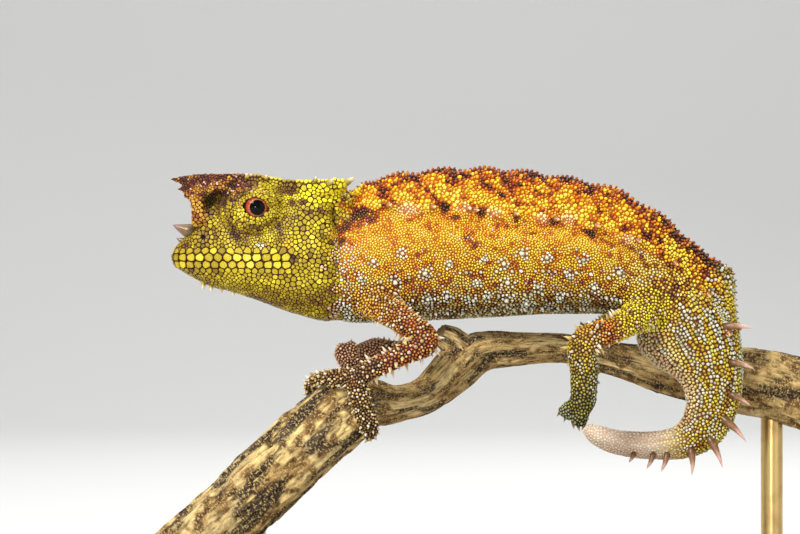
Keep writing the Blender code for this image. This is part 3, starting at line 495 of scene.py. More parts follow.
GRIPS = {  # the palm, then two bundles of joined toes, each with its number of toes
    "arm_left": [
        (0, [(-7.4, -4.5, 21.65, 0.88), (-8.2, -4.3, 21.05, 1.0), (-8.6, -4.2, 20.8, 0.9)]),
        (3, [(-8.3, -4.3, 21.1, 0.92), (-10.0, -3.6, 21.1, 0.85), (-11.3, -2.2, 21.0, 0.75),
             (-11.9, -0.7, 20.6, 0.6), (-11.85, 0.6, 19.4, 0.45)]),
        (2, [(-8.2, -4.4, 20.6, 0.95), (-7.9, -4.8, 19.2, 0.9), (-7.35, -4.5, 17.7, 0.85),
             (-7.1, -3.9, 16.75, 0.62), (-7.05, -3.1, 16.35, 0.42)]),
    ],
    "arm_right": [
        (0, [(-6.8, 4.0, 23.3, 0.88), (-7.9, 3.1, 22.7, 1.0), (-8.6, 2.4, 22.1, 0.9)]),
        (2, [(-8.6, 2.4, 21.8, 0.9), (-9.0, 1.6, 22.5, 1.0), (-9.15, 1.2, 23.1, 1.0),
             (-9.15, 1.0, 23.55, 0.8)]),
        (3, [(-8.4, 2.6, 22.0, 0.9), (-8.2, 2.4, 20.4, 0.8), (-7.9, 2.2, 18.6, 0.7), (-7.7, 1.2, 16.9, 0.5)]),
    ],
    "leg_left": [
        (0, [(9.7, -3.6, 19.4, 1.1), (9.4, -3.5, 18.9, 1.1), (9.2, -3.4, 18.6, 0.95)]),
        (2, [(9.3, -3.4, 18.75, 0.85), (8.6, -3.1, 18.5, 0.85), (8.2, -2.9, 18.2, 0.7)]),
        (3, [(9.45, -3.6, 18.5, 0.85), (9.35, -3.6, 17.85, 0.75), (9.3, -3.6, 17.5, 0.6)]),
    ],
    "leg_right": [
        (0, [(11.25, 5.3, 24.5, 0.85), (10.75, 4.9, 24.5, 0.9), (10.5, 4.7, 24.5, 0.85)]),
        (2, [(10.7, 4.7, 24.6, 0.75), (10.2, 3.8, 24.65, 0.65), (9.9, 2.7, 24.2, 0.55),
             (9.8, 2.2, 23.4, 0.45)]),
        (3, [(10.7, 4.9, 24.4, 0.8), (10.9, 5.7, 23.4, 0.7), (11.1, 5.6, 22.2, 0.6),
             (11.1, 4.9, 21.4, 0.45)]),
    ],
}
DOME_TILTS, LIMB_REFERENCE = (80, 60, 40, 20), (0.31, 0.72, 0.13)
TOES = {2: (0.52, 0.66), 3: (0.66, 0.56)}  # how far toes stand apart and how thick each is, for their number
TOE_SHORTER, TOE_FAN = 0.18, 0.4
GRAIN_OF_SKIN, SMOOTHINGS, NECK_SMOOTHINGS = 0.165, 3, 14
BODY_RINGS, BODY_SPAN, HEAD_RINGS, HEAD_SIDES, HELMET_RINGS = 300, 8, 90, 96, 60
PIT_MESH, TURRET_MESH, LIMB_MESH, PALM_MESH, TOE_MESH = (30, 40), (40, 60), (0.25, 28), (0.25, 24), (0.2, 20)
NOTCH_DROP, HELMET_OUT = 1.25, (0.0, 0.6, 0.93, 1.0, 0.9, 0.4)  # in drops below the back; in half widths
NECK_JOIN, NECK_SOFTENED = -9.9, 0.8
MOUTH_WIDTH, MOUTH_DEPTH, NOSTRIL_DEPTH, NOSTRIL_LIP = 0.12, 0.2, 0.35, 0.08
CHEEK_FOLD, CHEEK_LEAN, CHEEK_WIDTH, CHEEK_DEPTH = -9.55, 0.12, 0.32, 0.38
FLESH_NODES = [
    "head", "neck", "torso_front", "torso_rear", "tail_root", "tail_middle", "tail_tip",
    *(f"{part}_{side}" for part in ("upper_arm", "forearm", "hand", "thigh", "shin", "foot")
      for side in ("left", "right")),
]

station_samples = np.linspace(0, len(STATIONS) - 1, 1801)
spine_lengths = length_along(along(STATIONS, station_samples)[:, :3])


def body_frames(s):
    """The spine's line at lengths s: centres, side, up and aft directions, and the stations' sizes."""
    station = np.interp(s, spine_lengths, station_samples)
    rows = along(STATIONS, station)
    ahead = along(STATIONS, np.minimum(station + 0.02, len(STATIONS) - 1))[:, :3]
    aft = unit(ahead - along(STATIONS, np.maximum(station - 0.02, 0))[:, :3])
    side = unit(np.array((0, 1, 0)) - aft * aft[:, 1:2])
    return rows[:, :3], side, np.cross(aft, side), aft, rows[:, 3:]


def lobe(s, slant):
    """0 to 1 along each lobe of the roof: it swells towards its rear end and drops at the next lobe."""
    place = (s - LOBE_START - slant) / LOBE_PITCH
    return np.where((place >= 0) & (place < LOBES), np.sin(math.pi * (place % 1.0) ** 1.4), 0.0)


def body_outlines(s, sizes):
    """Half of each section as (out, up): keel, edge of the roof, the notch below it, flank, side, belly."""
    back, belly, side, roof, drop = sizes.T
    flare, notch = EDGE_FLARE * lobe(s, LOBE_SLANT), (1.02 * roof, back - NOTCH_DROP * drop)
    keel = back + KEEL_RISE * lobe(s, 0.0) + np.interp(s, *HIP_LOBE)
    out = [0 * s, roof + flare, notch[0], notch[0] + 0.72 * (side - notch[0]), side, 0.74 * side, 0 * s]
    up = [keel, back - drop - 0.5 * flare, notch[1], 0.45 * notch[1],
          -0.05 * belly, -0.7 * belly, -belly]
    return np.stack([np.stack(out, axis=1), np.stack(up, axis=1)], axis=-1)


def body_rings(s, grow, per_span):
    """Closed smooth sections round the spine's line, each point moved out by grow."""
    centre, side, up, _, sizes = body_frames(s)
    half = body_outlines(s, sizes)
    points = np.concatenate([half, half[:, -2:0:-1] * (-1, 1)], axis=1)
    corners = (np.roll(points, 1 - k, axis=1)[:, :, None] for k in range(4))
    curve = curve_between(*corners, (np.arange(per_span) / per_span)[:, None]).reshape(len(s), -1, 2)
    curve = curve * (1 + grow / np.linalg.norm(curve, axis=2, keepdims=True))
    return centre[:, None] + curve[..., :1] * side[:, None] + curve[..., 1:] * up[:, None]


def head_rings(rows, grow, sides):
    """Boxy sections: level crown, full cheeks at the lips and a rounder throat."""
    x, crown, lip, chin, half = (rows[:, k:k + 1] for k in range(5))
    c, s = np.cos(full_turn(sides)[None]), np.sin(full_turn(sides)[None])
    blunt = np.where(c > 0, 0.72, 0.95)
    out = np.sign(s) * np.abs(s) ** blunt * (half + LIP_BULGE * np.clip(1 - np.abs(c) / 0.35, 0, 1) + grow)
    reach = np.where(c > 0, crown - lip, lip - chin) + grow
    z = lip + np.sign(c) * np.abs(c) ** blunt * reach
    return np.stack(np.broadcast_arrays(x, out, z), axis=-1)


def helmet_rings(count):
    """Sections of the flat helmet: sunk in the middle, rimmed at the sides and drawn in below the rim."""
    x, half, rim, under = along(HELMET, np.linspace(0, len(HELMET) - 1, count)).T
    half, rim = half - COAT, rim - COAT
    out = [share * half for share in HELMET_OUT]
    z = [rim - 0.3, rim - 0.25, rim, rim - 0.3, under, under - 0.15]
    out, z = np.stack(out + [-o for o in out[:0:-1]], axis=1), np.stack(z + z[:0:-1], axis=1)
    return np.stack([np.broadcast_to(x[:, None], z.shape), out, z], axis=-1)


def crest_rings(way):
    """The toothed plate of one brow, between two copies of its side outline that lean outwards."""
    inner = CREST_INNER + CREST_LEAN * (BROW_CREST[:, 1] - BROW_CREST[:, 1].min())
    layers = [inner + COAT, inner + CREST_THICKNESS - COAT]
    return np.stack([np.stack([BROW_CREST[:, 0], way * y, BROW_CREST[:, 1]], axis=1) for y in layers])


def ball_rings(centre, radii, count, sides):
    """An ellipsoid as rings from pole to pole along Z, with tiny rings at the poles."""
    tilt = np.linspace(0.02, math.pi - 0.02, count)[:, None]
    around = turned(full_turn(sides)[None], np.array((1, 0, 0)), np.array((0, 1, 0)))
    return centre + radii * turned(tilt, np.array((0, 0, 1)), around)


def finger_rings(rows, grow, step, sides):
    """A tube along the rows with a round dome on each end."""
    rows = np.asarray(rows, float) + (0, 0, 0, grow)
    placed = along(rows, even_places(rows, step)[0])
    aims = unit(np.gradient(placed[:, :3], axis=0))
    tilt = np.radians(DOME_TILTS)[:, None]
    domes = []
    for end, outward in ((0, -1), (-1, 1)):
        radius = placed[end, 3]
        middles = placed[end, :3] + outward * aims[end] * radius * np.sin(tilt)
        domes.append(np.hstack([middles, radius * np.cos(tilt)]))
    placed = np.vstack([domes[0], placed, domes[1][::-1]])
    aims = np.vstack([np.repeat(aims[:1], len(tilt), axis=0), aims, np.repeat(aims[-1:], len(tilt), axis=0)])
    across, beside = carried_frames(aims, np.array(LIMB_REFERENCE))
    out = turned(full_turn(sides), across[:, None], beside[:, None])
    return placed[:, None, :3] + placed[:, None, 3:] * out


def branch_way(point):
    """The branch's own direction where it passes nearest to a point."""
    line = along(BRANCH, np.linspace(0, len(BRANCH) - 1, 400))[:, :3]
    k = np.clip(np.argmin(np.linalg.norm(line - point, axis=1)), 1, 398)
    return unit(line[k + 1] - line[k - 1])


def toes_of(bundle, toes):
    """The toes of a joined bundle, side by side along the branch, the middle one longest."""
    rows = np.asarray(bundle, float)
    aims = unit(np.gradient(rows[:, :3], axis=0))
    apart = branch_way(rows[len(rows) // 2, :3])
    apart = unit(apart - aims * (aims @ apart)[:, None])
    spread, thick = TOES[toes]
    reach = np.linspace(TOE_FAN, 1.0, len(rows))[:, None] * rows[:, 3:]
    made = []
    for place in np.linspace(-1, 1, toes):
        toe = rows.copy()
        toe[:, :3] += reach * (spread * place * apart - TOE_SHORTER * abs(place) * aims)
        toe[:, 3] *= thick
        made.append(toe)
    return made


def mesh_in_millimetres(name, pieces):
    """A plain mesh object of several closed ring surfaces, in millimetres, to be fused."""
    points, faces, first = [], [], 0
    for rings in pieces:
        count, sides = rings.shape[:2]
        for part in ring_faces(count, sides):
            faces += (part + first).tolist()
        points.append(rings.reshape(-1, 3))
        first += count * sides
    mesh = bpy.data.meshes.new(name)
    mesh.from_pydata(np.concatenate(points).tolist(), [], faces)
    made = bpy.data.objects.new(name, mesh)
    bpy.context.scene.collection.objects.link(made)
    return made


def fused(pieces, grain):
    """One closed surface of small quads round all of the pieces together, as points and faces."""
    lump = mesh_in_millimetres("lump", pieces)
    step = lump.modifiers.new("fuse", "REMESH")
    step.mode, step.voxel_size = "VOXEL", grain
    mesh = lump.evaluated_get(bpy.context.evaluated_depsgraph_get()).to_mesh()
    points = np.empty(3 * len(mesh.vertices), np.float32)
    mesh.vertices.foreach_get("co", points)
    corners = np.empty(len(mesh.loops), np.int32)
    mesh.loops.foreach_get("vertex_index", corners)
    bpy.data.objects.remove(lump)
    return points.reshape(-1, 3).astype(float), corners.reshape(-1, 4)


def neighbours_of(faces, count):
    """The two ends of every edge, both ways round, and how many edges meet at each point."""
    ends = np.concatenate([np.stack([faces[:, k], faces[:, (k + 1) % 4]], axis=1) for k in range(4)])
    return ends, np.bincount(ends[:, 0], minlength=count)[:, None]


def summed(owners, values, count):
    """The sum of the rows of values that belong to each of count owners."""
    return np.stack([np.bincount(owners, column, count) for column in values.T], axis=1)


def smoothed(values, ends, meets, times, share=0.5):
    """Each value moved towards the mean of its neighbours by the share, so many times."""
    for _ in range(times):
        total = summed(ends[:, 0], values[ends[:, 1]], len(values))
        values = values + share * (total / meets - values)
    return values


def normals_of(points, faces):
    """Outward directions at the points: the sum of the crossed diagonals of the quads that meet there."""
    crossed = np.cross(points[faces[:, 2]] - points[faces[:, 0]], points[faces[:, 3]] - points[faces[:, 1]])
    return unit(summed(faces.ravel(), np.repeat(crossed, 4, axis=0), len(points)))


def flesh_forms():
    nape = body_rings(np.linspace(0, spine_lengths[-1] - 0.05, BODY_RINGS), -COAT, BODY_SPAN)
    middle = nape[:1].mean(axis=1, keepdims=True)
    forms = [np.concatenate([middle + 0.9 * (nape[:1] - middle) - (NAPE_INTO_HEAD, 0, 0), nape])]
    forms.append(head_rings(along(HEAD, np.linspace(0, len(HEAD) - 1, HEAD_RINGS)), -COAT, HEAD_SIDES))
    forms.append(helmet_rings(HELMET_RINGS))
    forms += [ball_rings(centre, radii, *PIT_MESH) for centre, radii in (PIT_WALL, PIT_FLOOR, NAPE)]
    for way in (-1, 1):
        forms.append(crest_rings(way))
        forms.append(ball_rings(TURRET_CENTRE * (1, way, 1), TURRET_RADII - COAT, *TURRET_MESH))
    for limb, rows in LIMBS.items():
        forms.append(finger_rings(rows, -COAT, *LIMB_MESH))
        for toes, bundle in GRIPS[limb]:
            forms.append(finger_rings(np.array(bundle)[: 2 + (toes == 0)], -COAT, *PALM_MESH))
            if toes:
                forms += [finger_rings(toe, -0.5 * COAT, *TOE_MESH) for toe in toes_of(bundle, toes)]
    return forms


WIDER_THAN_HIGH = 1.08


def from_eye(points):
    """Each point's place as seen from its own side: forward, up and distance from the eye, where a step
    up counts for more, as the lids are wider than high."""
    ahead, rise = EYE_CENTRE[0] - points[:, 0], points[:, 2] - EYE_CENTRE[2]
    return ahead, rise, np.hypot(ahead, WIDER_THAN_HIGH * rise)


def turret_reach(points):
    """Each point's distance from the middle of its side's eye turret, counted in the turret's radii."""
    placed = np.where((False, True, False), np.abs(points), points)
    return np.linalg.norm((placed - TURRET_CENTRE) / TURRET_RADII, axis=1)


TURRET_FOLDS, FOLD_WIDTH, FOLD_DEPTH = (1.78, 2.42, 2.95), 0.15, 0.13


def pressed(points, normals):
    """The folds and pits of the head: arcs round the eye turret below and before the eye, the nostril,
    the line of the mouth, a fold behind the cheek, and room for the eyeball."""
    x, z, out = points[:, 0], points[:, 2], np.abs(points[:, 1])
    ahead, rise, reach = from_eye(points)
    turret = turret_reach(points)
    on_turret = eased(1.25, 1.05, turret) * (out > 1.4)
    below = eased(-0.5, 0.5, ahead * 0.5 - rise) * on_turret
    push = sum(FOLD_DEPTH * hump(reach - fold, FOLD_WIDTH) for fold in TURRET_FOLDS) * below
    mouth = hump(z - LIP_HEIGHT, MOUTH_WIDTH) * eased(MOUTH_CORNER + 0.3, MOUTH_CORNER - 0.3, x)
    push = push + MOUTH_DEPTH * mouth * (out > 0.3)
    to_nostril = np.hypot(x - NOSTRIL[0], z - NOSTRIL[2]) + 10 * (out < 1)
    push = push + NOSTRIL_DEPTH * hump(to_nostril, 1.1 * NOSTRIL_RADIUS)
    push = push - NOSTRIL_LIP * hump(to_nostril - 0.42, 0.14)
    fold = hump(x - CHEEK_FOLD + CHEEK_LEAN * (z - 32), CHEEK_WIDTH) * eased(29, 31, z) * eased(35.6, 34.6, z)
    push = push + CHEEK_DEPTH * fold * (out > 2)
    moved = points - push[:, None] * normals
    room = eased(1.75, 1.45, reach) * (turret > 0.8) * (out > 2)
    width = np.abs(moved[:, 1])
    moved[:, 1] = np.where(points[:, 1] < 0, -1, 1) * (width + room * np.minimum(EYE_ROOM - width, 0))
    return moved


def nearest_rows(points, line, radii):
    """The number of the row of the line that each point lies nearest to, counted in radii, and how far."""
    found = []
    for part in np.array_split(points, 16):
        square = (part ** 2).sum(axis=1)[:, None] - 2 * part @ line.T + (line ** 2).sum(axis=1)
        ratio = np.sqrt(np.maximum(square, 0)) / radii
        best = ratio.argmin(axis=1)
        found.append(np.stack([best, ratio[np.arange(len(part)), best]], axis=1))
    found = np.concatenate(found)
    return found[:, 0].astype(int), found[:, 1]


def limb_lines():
    """Rows down the middle of every limb and bundle of toes: place, radius, direction, share of the way
    (0 at the body, 1 at the wrist, 2 at the tips of the toes) and number of the limb."""
    lines = []
    for number, (limb, rows) in enumerate(LIMBS.items()):
        parts = [(rows, 0.0, 1.0)] + [(bundle, 1.0, 2.0 if toes else 1.2) for toes, bundle in GRIPS[limb]]
        for table, start, end in parts:
            at = even_places(np.array(table), 0.3)[0]
            placed = along(np.array(table), at)
            way = unit(np.gradient(placed[:, :3], axis=0))
            share = np.linspace(start, end, len(at))
            lines.append(np.column_stack([placed, way, share, np.full(len(at), number)]))
    return np.concatenate(lines)


LIMB_LINES = limb_lines()
HEAD_AXIS_HEIGHT, HEAD_END, HEAD_FLOOR = 31.6, -9.75, 24.8
ON_LIMB = 1.22


def surveyed(points, normals):
    """Where each point lies on the animal: on the head, a limb or the body, with the direction in which its
    scales lie there and its place (u, v) on an unwrap of the skin. On the body u is the length along the
    spine's line and v the turn round it, on a limb the length and turn of the limb, on the head x and the
    turn round its axis."""
    row, ratio = nearest_rows(points, LIMB_LINES[:, :3], LIMB_LINES[:, 3])
    s = np.linspace(0, spine_lengths[-1], 260)
    centre, _, _, aft, _ = body_frames(s)
    k = nearest_rows(points, centre, 1.0)[0]
    s = np.clip(s[k] + ((points - centre[k]) * aft[k]).sum(axis=1), 0, spine_lengths[-1])
    centre, side, up, aft, sizes = body_frames(s)
    out, rise = ((points - centre) * side).sum(axis=1), ((points - centre) * up).sum(axis=1)
    head = (points[:, 0] < HEAD_END) & (points[:, 2] > HEAD_FLOOR) & (ratio > 1)
    limb = (ratio < ON_LIMB) & ~head
    way = LIMB_LINES[row, 4:7]
    first = unit(np.cross(way, (0.2, 0.9, 0.1)))
    on_limb = np.arctan2((normals * first).sum(axis=1), (normals * np.cross(way, first)).sum(axis=1))
    on_head = np.arctan2(points[:, 1], points[:, 2] - HEAD_AXIS_HEIGHT)
    share = LIMB_LINES[row, 7]
    return {
        "head": head, "limb": limb, "body": ~head & ~limb, "which": LIMB_LINES[row, 8].astype(int),
        "share": share, "s": s, "out": out, "rise": rise, "low": -rise / sizes[:, 1], "sizes": sizes,
        "lie": np.select([head[:, None], limb[:, None]], [(1.0, 0.0, 0.0), way], aft),
        "u": np.select([head, limb], [points[:, 0], share], s),
        "v": np.select([head, limb], [on_head, on_limb], np.arctan2(out, rise)),
    }


skin_points, skin_faces = fused(flesh_forms(), GRAIN_OF_SKIN)
skin_ends, skin_meets = neighbours_of(skin_faces, len(skin_points))
skin_points = smoothed(skin_points, skin_ends, skin_meets, SMOOTHINGS)
for _ in range(NECK_SMOOTHINGS):
    softer = smoothed(skin_points, skin_ends, skin_meets, 1, 0.6)
    share = hump(skin_points[:, 0] - NECK_JOIN, NECK_SOFTENED, 4) * eased(35.6, 34.9, skin_points[:, 2])
    skin_points = skin_points + share[:, None] * (softer - skin_points)
skin_points = pressed(skin_points, normals_of(skin_points, skin_faces))
skin_points = smoothed(skin_points, skin_ends, skin_meets, 1, 0.3)
skin_normals = normals_of(skin_points, skin_faces)
skin_survey = surveyed(skin_points, skin_normals)


# Markings. The body runs from maroon bands and an orange upper flank through yellow to a dull, pale-flecked
# belly, the head is olive to lemon with a rust crest, the limbs are rust with cream, and the tail is olive
# with pale whorls. Skin and scales take their colours from the same fields. Some of the colour is painted
# light: shadow under the roof's lobes, highlight patches below its edge, shade on the belly, in the
# turret's folds and in the pit behind the brow, and a paler far forearm.

WARM = [(0.0, (0.05, 0.006, 0.003)), (0.2, (0.21, 0.022, 0.004)), (0.42, (0.66, 0.17, 0.006)),
        (0.6, (0.89, 0.43, 0.006)), (0.8, (0.95, 0.69, 0.01)), (1.0, (0.97, 0.82, 0.08))]
OLIVE = [(0.0, (0.04, 0.014, 0.01)), (0.22, (0.15, 0.06, 0.018)), (0.36, (0.24, 0.145, 0.012)),
         (0.58, (0.47, 0.345, 0.015)), (0.8, (0.72, 0.59, 0.026)), (1.0, (0.84, 0.76, 0.1))]
PALE = [(0.0, (0.26, 0.28, 0.15)), (0.5, (0.6, 0.68, 0.53)), (1.0, (0.88, 0.94, 0.88))]
CREAM = [(0.0, (0.5, 0.26, 0.05)), (0.4, (0.8, 0.58, 0.16)), (0.7, (0.88, 0.76, 0.46)),
         (1.0, (0.94, 0.9, 0.74))]
RUST = [(0.0, (0.07, 0.014, 0.012)), (0.35, (0.22, 0.06, 0.03)), (0.6, (0.42, 0.16, 0.02)),
        (1.0, (0.72, 0.4, 0.05))]
BELLY_DULL_AND_SHADED = [(0.0, (0.05, 0.024, 0.008)), (0.5, (0.16, 0.11, 0.02)), (1.0, (0.45, 0.36, 0.12))]
HIP = [(0.0, (0.12, 0.025, 0.006)), (0.35, (0.52, 0.24, 0.02)), (0.6, (0.8, 0.56, 0.025)),
       (1.0, (0.92, 0.87, 0.24))]
TAIL = [(0.0, (0.26, 0.1, 0.012)), (0.35, (0.62, 0.4, 0.02)), (0.65, (0.72, 0.66, 0.06)),
        (1.0, (0.88, 0.86, 0.3))]
TAIL_TIP = [(0.0, (0.8, 0.62, 0.48)), (0.5, (0.93, 0.8, 0.64)), (1.0, (0.97, 0.9, 0.78))]
CASQUE_YELLOW, PINK_WHITE, MAUVE = (0.98, 0.82, 0.03), (0.8, 0.52, 0.42), (0.56, 0.31, 0.22)
HIGHLIGHT_CREAM, TAIL_INSIDE, TAIL_STAIN = (0.98, 0.86, 0.56), (0.84, 0.66, 0.46), (0.3, 0.1, 0.02)
FAR_ARM_TAN_AND_LIGHT, PALE_TOE, TAIL_RIDGES = (0.85, 0.55, 0.14), (0.34, 0.4, 0.26), 12
SKIN_SHADES = ((0.82, 0.78, 0.76), (1.12, 1.12, 1.1))
ROOF_TONES = ([0.0, 0.15, 0.5, 0.8, 1.0], [0.74, 0.92, 0.8, 0.48, 0.2])  # heights, and tones there
FLANK_TONES = ([-0.95, -0.6, -0.2, 0.15, 0.5, 0.9], [0.74, 0.72, 0.78, 0.78, 0.66, 0.48])
HEAD_EDGE = ((29.5, 31.0, 35.0, 36.0), (-9.9, -10.2, -9.1, -8.8))  # heights, and x there
NOTCH_SHADOWS = [(-1.1, 34.6), (1.7, 34.15), (4.45, 33.7), (7.5, 33.45), (10.4, 32.4)]  # below the roof's edge
BODY_MARKS = [  # x, z, half length, half height, turn in degrees, change of tone
    (-6.1, 35.1, 0.45, 0.9, -10, -0.5), (-3.6, 35.2, 0.4, 0.38, 0, -0.45), (3.2, 35.6, 0.8, 0.25, -45, -0.4),
    (7.3, 34.6, 0.42, 0.6, 0, -0.4), (11.2, 34.6, 0.42, 0.9, 5, -0.5), (13.2, 32.9, 0.38, 0.38, 0, -0.6),
    (15.1, 32.3, 0.48, 0.48, 0, -0.6), (15.9, 31.9, 0.35, 0.7, 10, -0.4), (16.7, 29.8, 0.42, 0.38, 0, -0.55),
    (18.3, 28.7, 0.42, 0.38, 0, -0.55), (16.0, 28.2, 0.9, 0.65, -35, -0.5), (17.6, 27.4, 1.1, 0.4, -35, -0.4),
    (-8.0, 33.9, 1.3, 0.75, 0, -0.52), (-9.5, 32.6, 0.5, 0.8, 0, -0.3), (-9.0, 33.1, 0.5, 0.5, 0, -0.35),
    (2.3, 33.1, 2.6, 0.75, 0, -0.12), (-2.1, 31.5, 1.6, 0.8, 0, 0.16), (2.8, 32.0, 1.3, 0.45, 0, 0.12),
    (10.0, 31.7, 1.7, 0.7, 0, 0.14), (17.2, 30.7, 1.1, 0.6, -30, 0.2), (19.6, 28.6, 0.8, 1.2, 10, -0.22),
    (0.5, 32.0, 0.42, 0.42, 0, -0.34), (20.5, 29.7, 0.6, 0.45, 0, 0.3),
    # The last two rows of marks are painted shadow: a dark notch under each lobe's rear edge and a dark
    # slanting band along it.
    *((x, z, 0.38, 0.42, 0, -0.85) for x, z in NOTCH_SHADOWS),
    *((x - 0.7, z + 0.6, 1.0, 0.2, -40, -0.45) for x, z in NOTCH_SHADOWS),
]
# Painted highlight: cream patches just below the roof's edge.
CREAM_HIGHLIGHT_PATCHES = [
    (-4.2, 34.4, 0.9, 0.5, 0, 1.0), (0.3, 34.6, 0.8, 0.36, -10, 1.0), (2.6, 34.1, 0.6, 0.38, 0, 1.0),
    (6.7, 33.8, 0.6, 0.45, 0, 1.0), (8.6, 33.65, 0.55, 0.45, 0, 1.0), (13.3, 32.1, 0.55, 0.45, 0, 0.9),
]
HEAD_MARKS = [
    (-13.3, 30.6, 0.42, 0.3, 0, -0.6), (-14.2, 31.2, 0.8, 0.12, -38, -0.4),
    (-18.6, 36.0, 0.85, 0.8, 20, -0.36), (-13.7, 36.1, 1.1, 0.6, 0, -0.34),
    (-13.3, 34.9, 0.36, 0.3, 0, -0.45), (-12.5, 35.0, 0.36, 0.28, 0, -0.45),
    (-11.9, 34.1, 0.4, 0.3, 20, -0.4), (-11.1, 34.2, 0.36, 0.3, 0, -0.36), (-13.0, 33.8, 0.3, 0.26, 0, -0.38),
    (-12.4, 33.4, 0.3, 0.26, 0, -0.34), (-19.3, 29.4, 0.4, 0.28, 0, -0.36), (-9.6, 32.0, 0.45, 1.2, 5, -0.5),
    (-10.2, 31.7, 0.3, 0.3, 0, -0.35), (-11.1, 32.2, 0.26, 0.26, 0, -0.35), (-10.8, 30.2, 0.3, 0.3, 0, -0.25),
    (-17.6, 31.9, 0.9, 0.3, -20, -0.18), (-12.4, 32.6, 0.9, 0.8, 0, 0.08),
    (-18.2, 33.0, 0.5, 0.9, 20, -0.14), (-14.0, 32.6, 0.5, 0.9, -30, -0.16), (-22.0, 31.7, 0.5, 0.4, 0, -0.3),
]
HEAD_SPOTS = [  # x, z, half length, half height, colour: white, orange, nostril and the pit behind the brow
    (-15.85, 31.5, 0.38, 0.2, (0.86, 0.84, 0.66)), (-13.65, 31.6, 0.42, 0.38, (0.9, 0.56, 0.03)),
    (-10.1, 32.5, 0.4, 0.4, (0.9, 0.5, 0.04)), (-20.3, 32.2, 0.42, 0.42, (0.2, 0.08, 0.08)),
    # The near-black spot is painted shadow in the pit behind the brow.
    (-19.9, 35.05, 0.7, 0.5, (0.006, 0.003, 0.002)),
]
LIMB_STOPS = {  # share of the way from the body to the toes, and colour there
    "arm": [(0.0, (0.66, 0.34, 0.02)), (0.35, (0.42, 0.1, 0.012)), (0.8, (0.34, 0.07, 0.012)),
            (1.05, (0.16, 0.055, 0.022)), (2.0, (0.2, 0.11, 0.04))],
    "leg": [(0.0, (0.97, 0.8, 0.03)), (0.3, (0.97, 0.74, 0.02)), (0.46, (0.6, 0.15, 0.012)),
            (0.7, (0.5, 0.38, 0.02)), (1.0, (0.17, 0.17, 0.02)), (2.0, (0.035, 0.05, 0.014))],
}


def on_ramp(stops, tone):
    """The colours at the tones on a ramp of (place, colour), where its ends go on outwards."""
    places = [place for place, _ in stops]
    table = np.array([colour for _, colour in stops])
    return np.stack([np.interp(tone, places, table[:, k]) for k in range(3)], axis=-1)


def marked(points, marks):
    """The summed change of tone from oval marks in the side view, each fading out over its edge."""
    x, z, total = points[:, 0], points[:, 2], np.zeros(len(points))
    for centre_x, centre_z, long, high, turn, change in marks:
        c, s = math.cos(math.radians(turn)), math.sin(math.radians(turn))
        a, b = c * (x - centre_x) + s * (z - centre_z), c * (z - centre_z) - s * (x - centre_x)
        total += change * np.exp(-((a / long) ** 2 + (b / high) ** 2) ** 1.5)
    return total


def head_border(points):
    """How far the head's markings reach, 0 to 1: their uneven border slants forward from crown to throat."""
    edge = np.interp(points[:, 2], *HEAD_EDGE)
    return eased(0.45, -0.45, points[:, 0] - edge + 0.4 * waves(points, 1.1, 441))


def body_colours(points, survey, speckle):
    """Tone by height on the roof, flank and belly, with marks, soft clouds and a speckle for each scale. The
    roof is darkened as painted shadow where its lobes step down and under their edges, cream patches below
    its edge are painted highlight, and the belly's dull colour is darkened further as painted shade.
    """
    s, low, sizes = survey["s"], survey["low"], survey["sizes"]
    drop = NOTCH_DROP * sizes[:, 4]
    height = (survey["rise"] - (sizes[:, 0] - drop)) / drop
    clouds = waves(points, 2.2, 401) * 0.09 + waves(points, 0.9, 402) * 0.15
    lobes = (s - LOBE_START - LOBE_SLANT * (1 - np.clip(height, 0, 1))) / LOBE_PITCH % 1.0
    on_roof = eased(-0.06, 0.06, height)
    roof_tone = np.interp(height, *ROOF_TONES)
    # Darker where each lobe ends and the next begins: painted shade in the step between lobes.
    roof_tone = roof_tone - 0.2 * eased(0.84, 1.0, lobes) - 0.12 * eased(0.1, 0.0, lobes)
    flank_tone = np.interp(low, *FLANK_TONES) - 0.04 * eased(3.0, 0.5, s)
    tone = roof_tone * on_roof + flank_tone * (1 - on_roof) - 0.1 * eased(19, 26, s) * on_roof
    side_marks = marked(points, BODY_MARKS) * eased(0.6, 1.4, np.abs(survey["out"]) + 0.5 * on_roof)
    colour = on_ramp(WARM, tone + clouds + side_marks + 0.2 * speckle)
    # The cream patches are painted highlight below the roof's edge.
    patch = marked(points, CREAM_HIGHLIGHT_PATCHES) * (side_marks > -0.2) * eased(-1.6, 0.2, speckle)
    colour = mixed(colour, HIGHLIGHT_CREAM, np.clip(0.9 * patch, 0, 1))
    # Darker towards the belly: its duller colour, together with painted shade on the underside.
    dull_and_shaded = eased(0.35, 0.9, low + 0.3 * clouds)
    colour = mixed(colour, on_ramp(BELLY_DULL_AND_SHADED, 0.5 + 2 * clouds + 0.25 * speckle), 0.8 * dull_and_shaded)
    hip = eased(20, 26, s) * (1 - on_roof) * (1 - dull_and_shaded)
    colour = mixed(colour, on_ramp(HIP, 0.55 + 2.2 * clouds + side_marks + 0.25 * speckle), 0.85 * hip)
    streaks = eased(0.2, 1.0, waves(np.stack([s / 5, survey["v"] * 2, 0 * s], axis=1), 0.8, 403))
    chance = 0.02 + 0.33 * eased(0.3, 0.9, low) + 0.55 * hip * streaks * (side_marks > -0.1)
    chance = chance + 0.6 * eased(3.2, 0.6, s) * (low > -0.3)
    return colour, chance * (1 - on_roof)


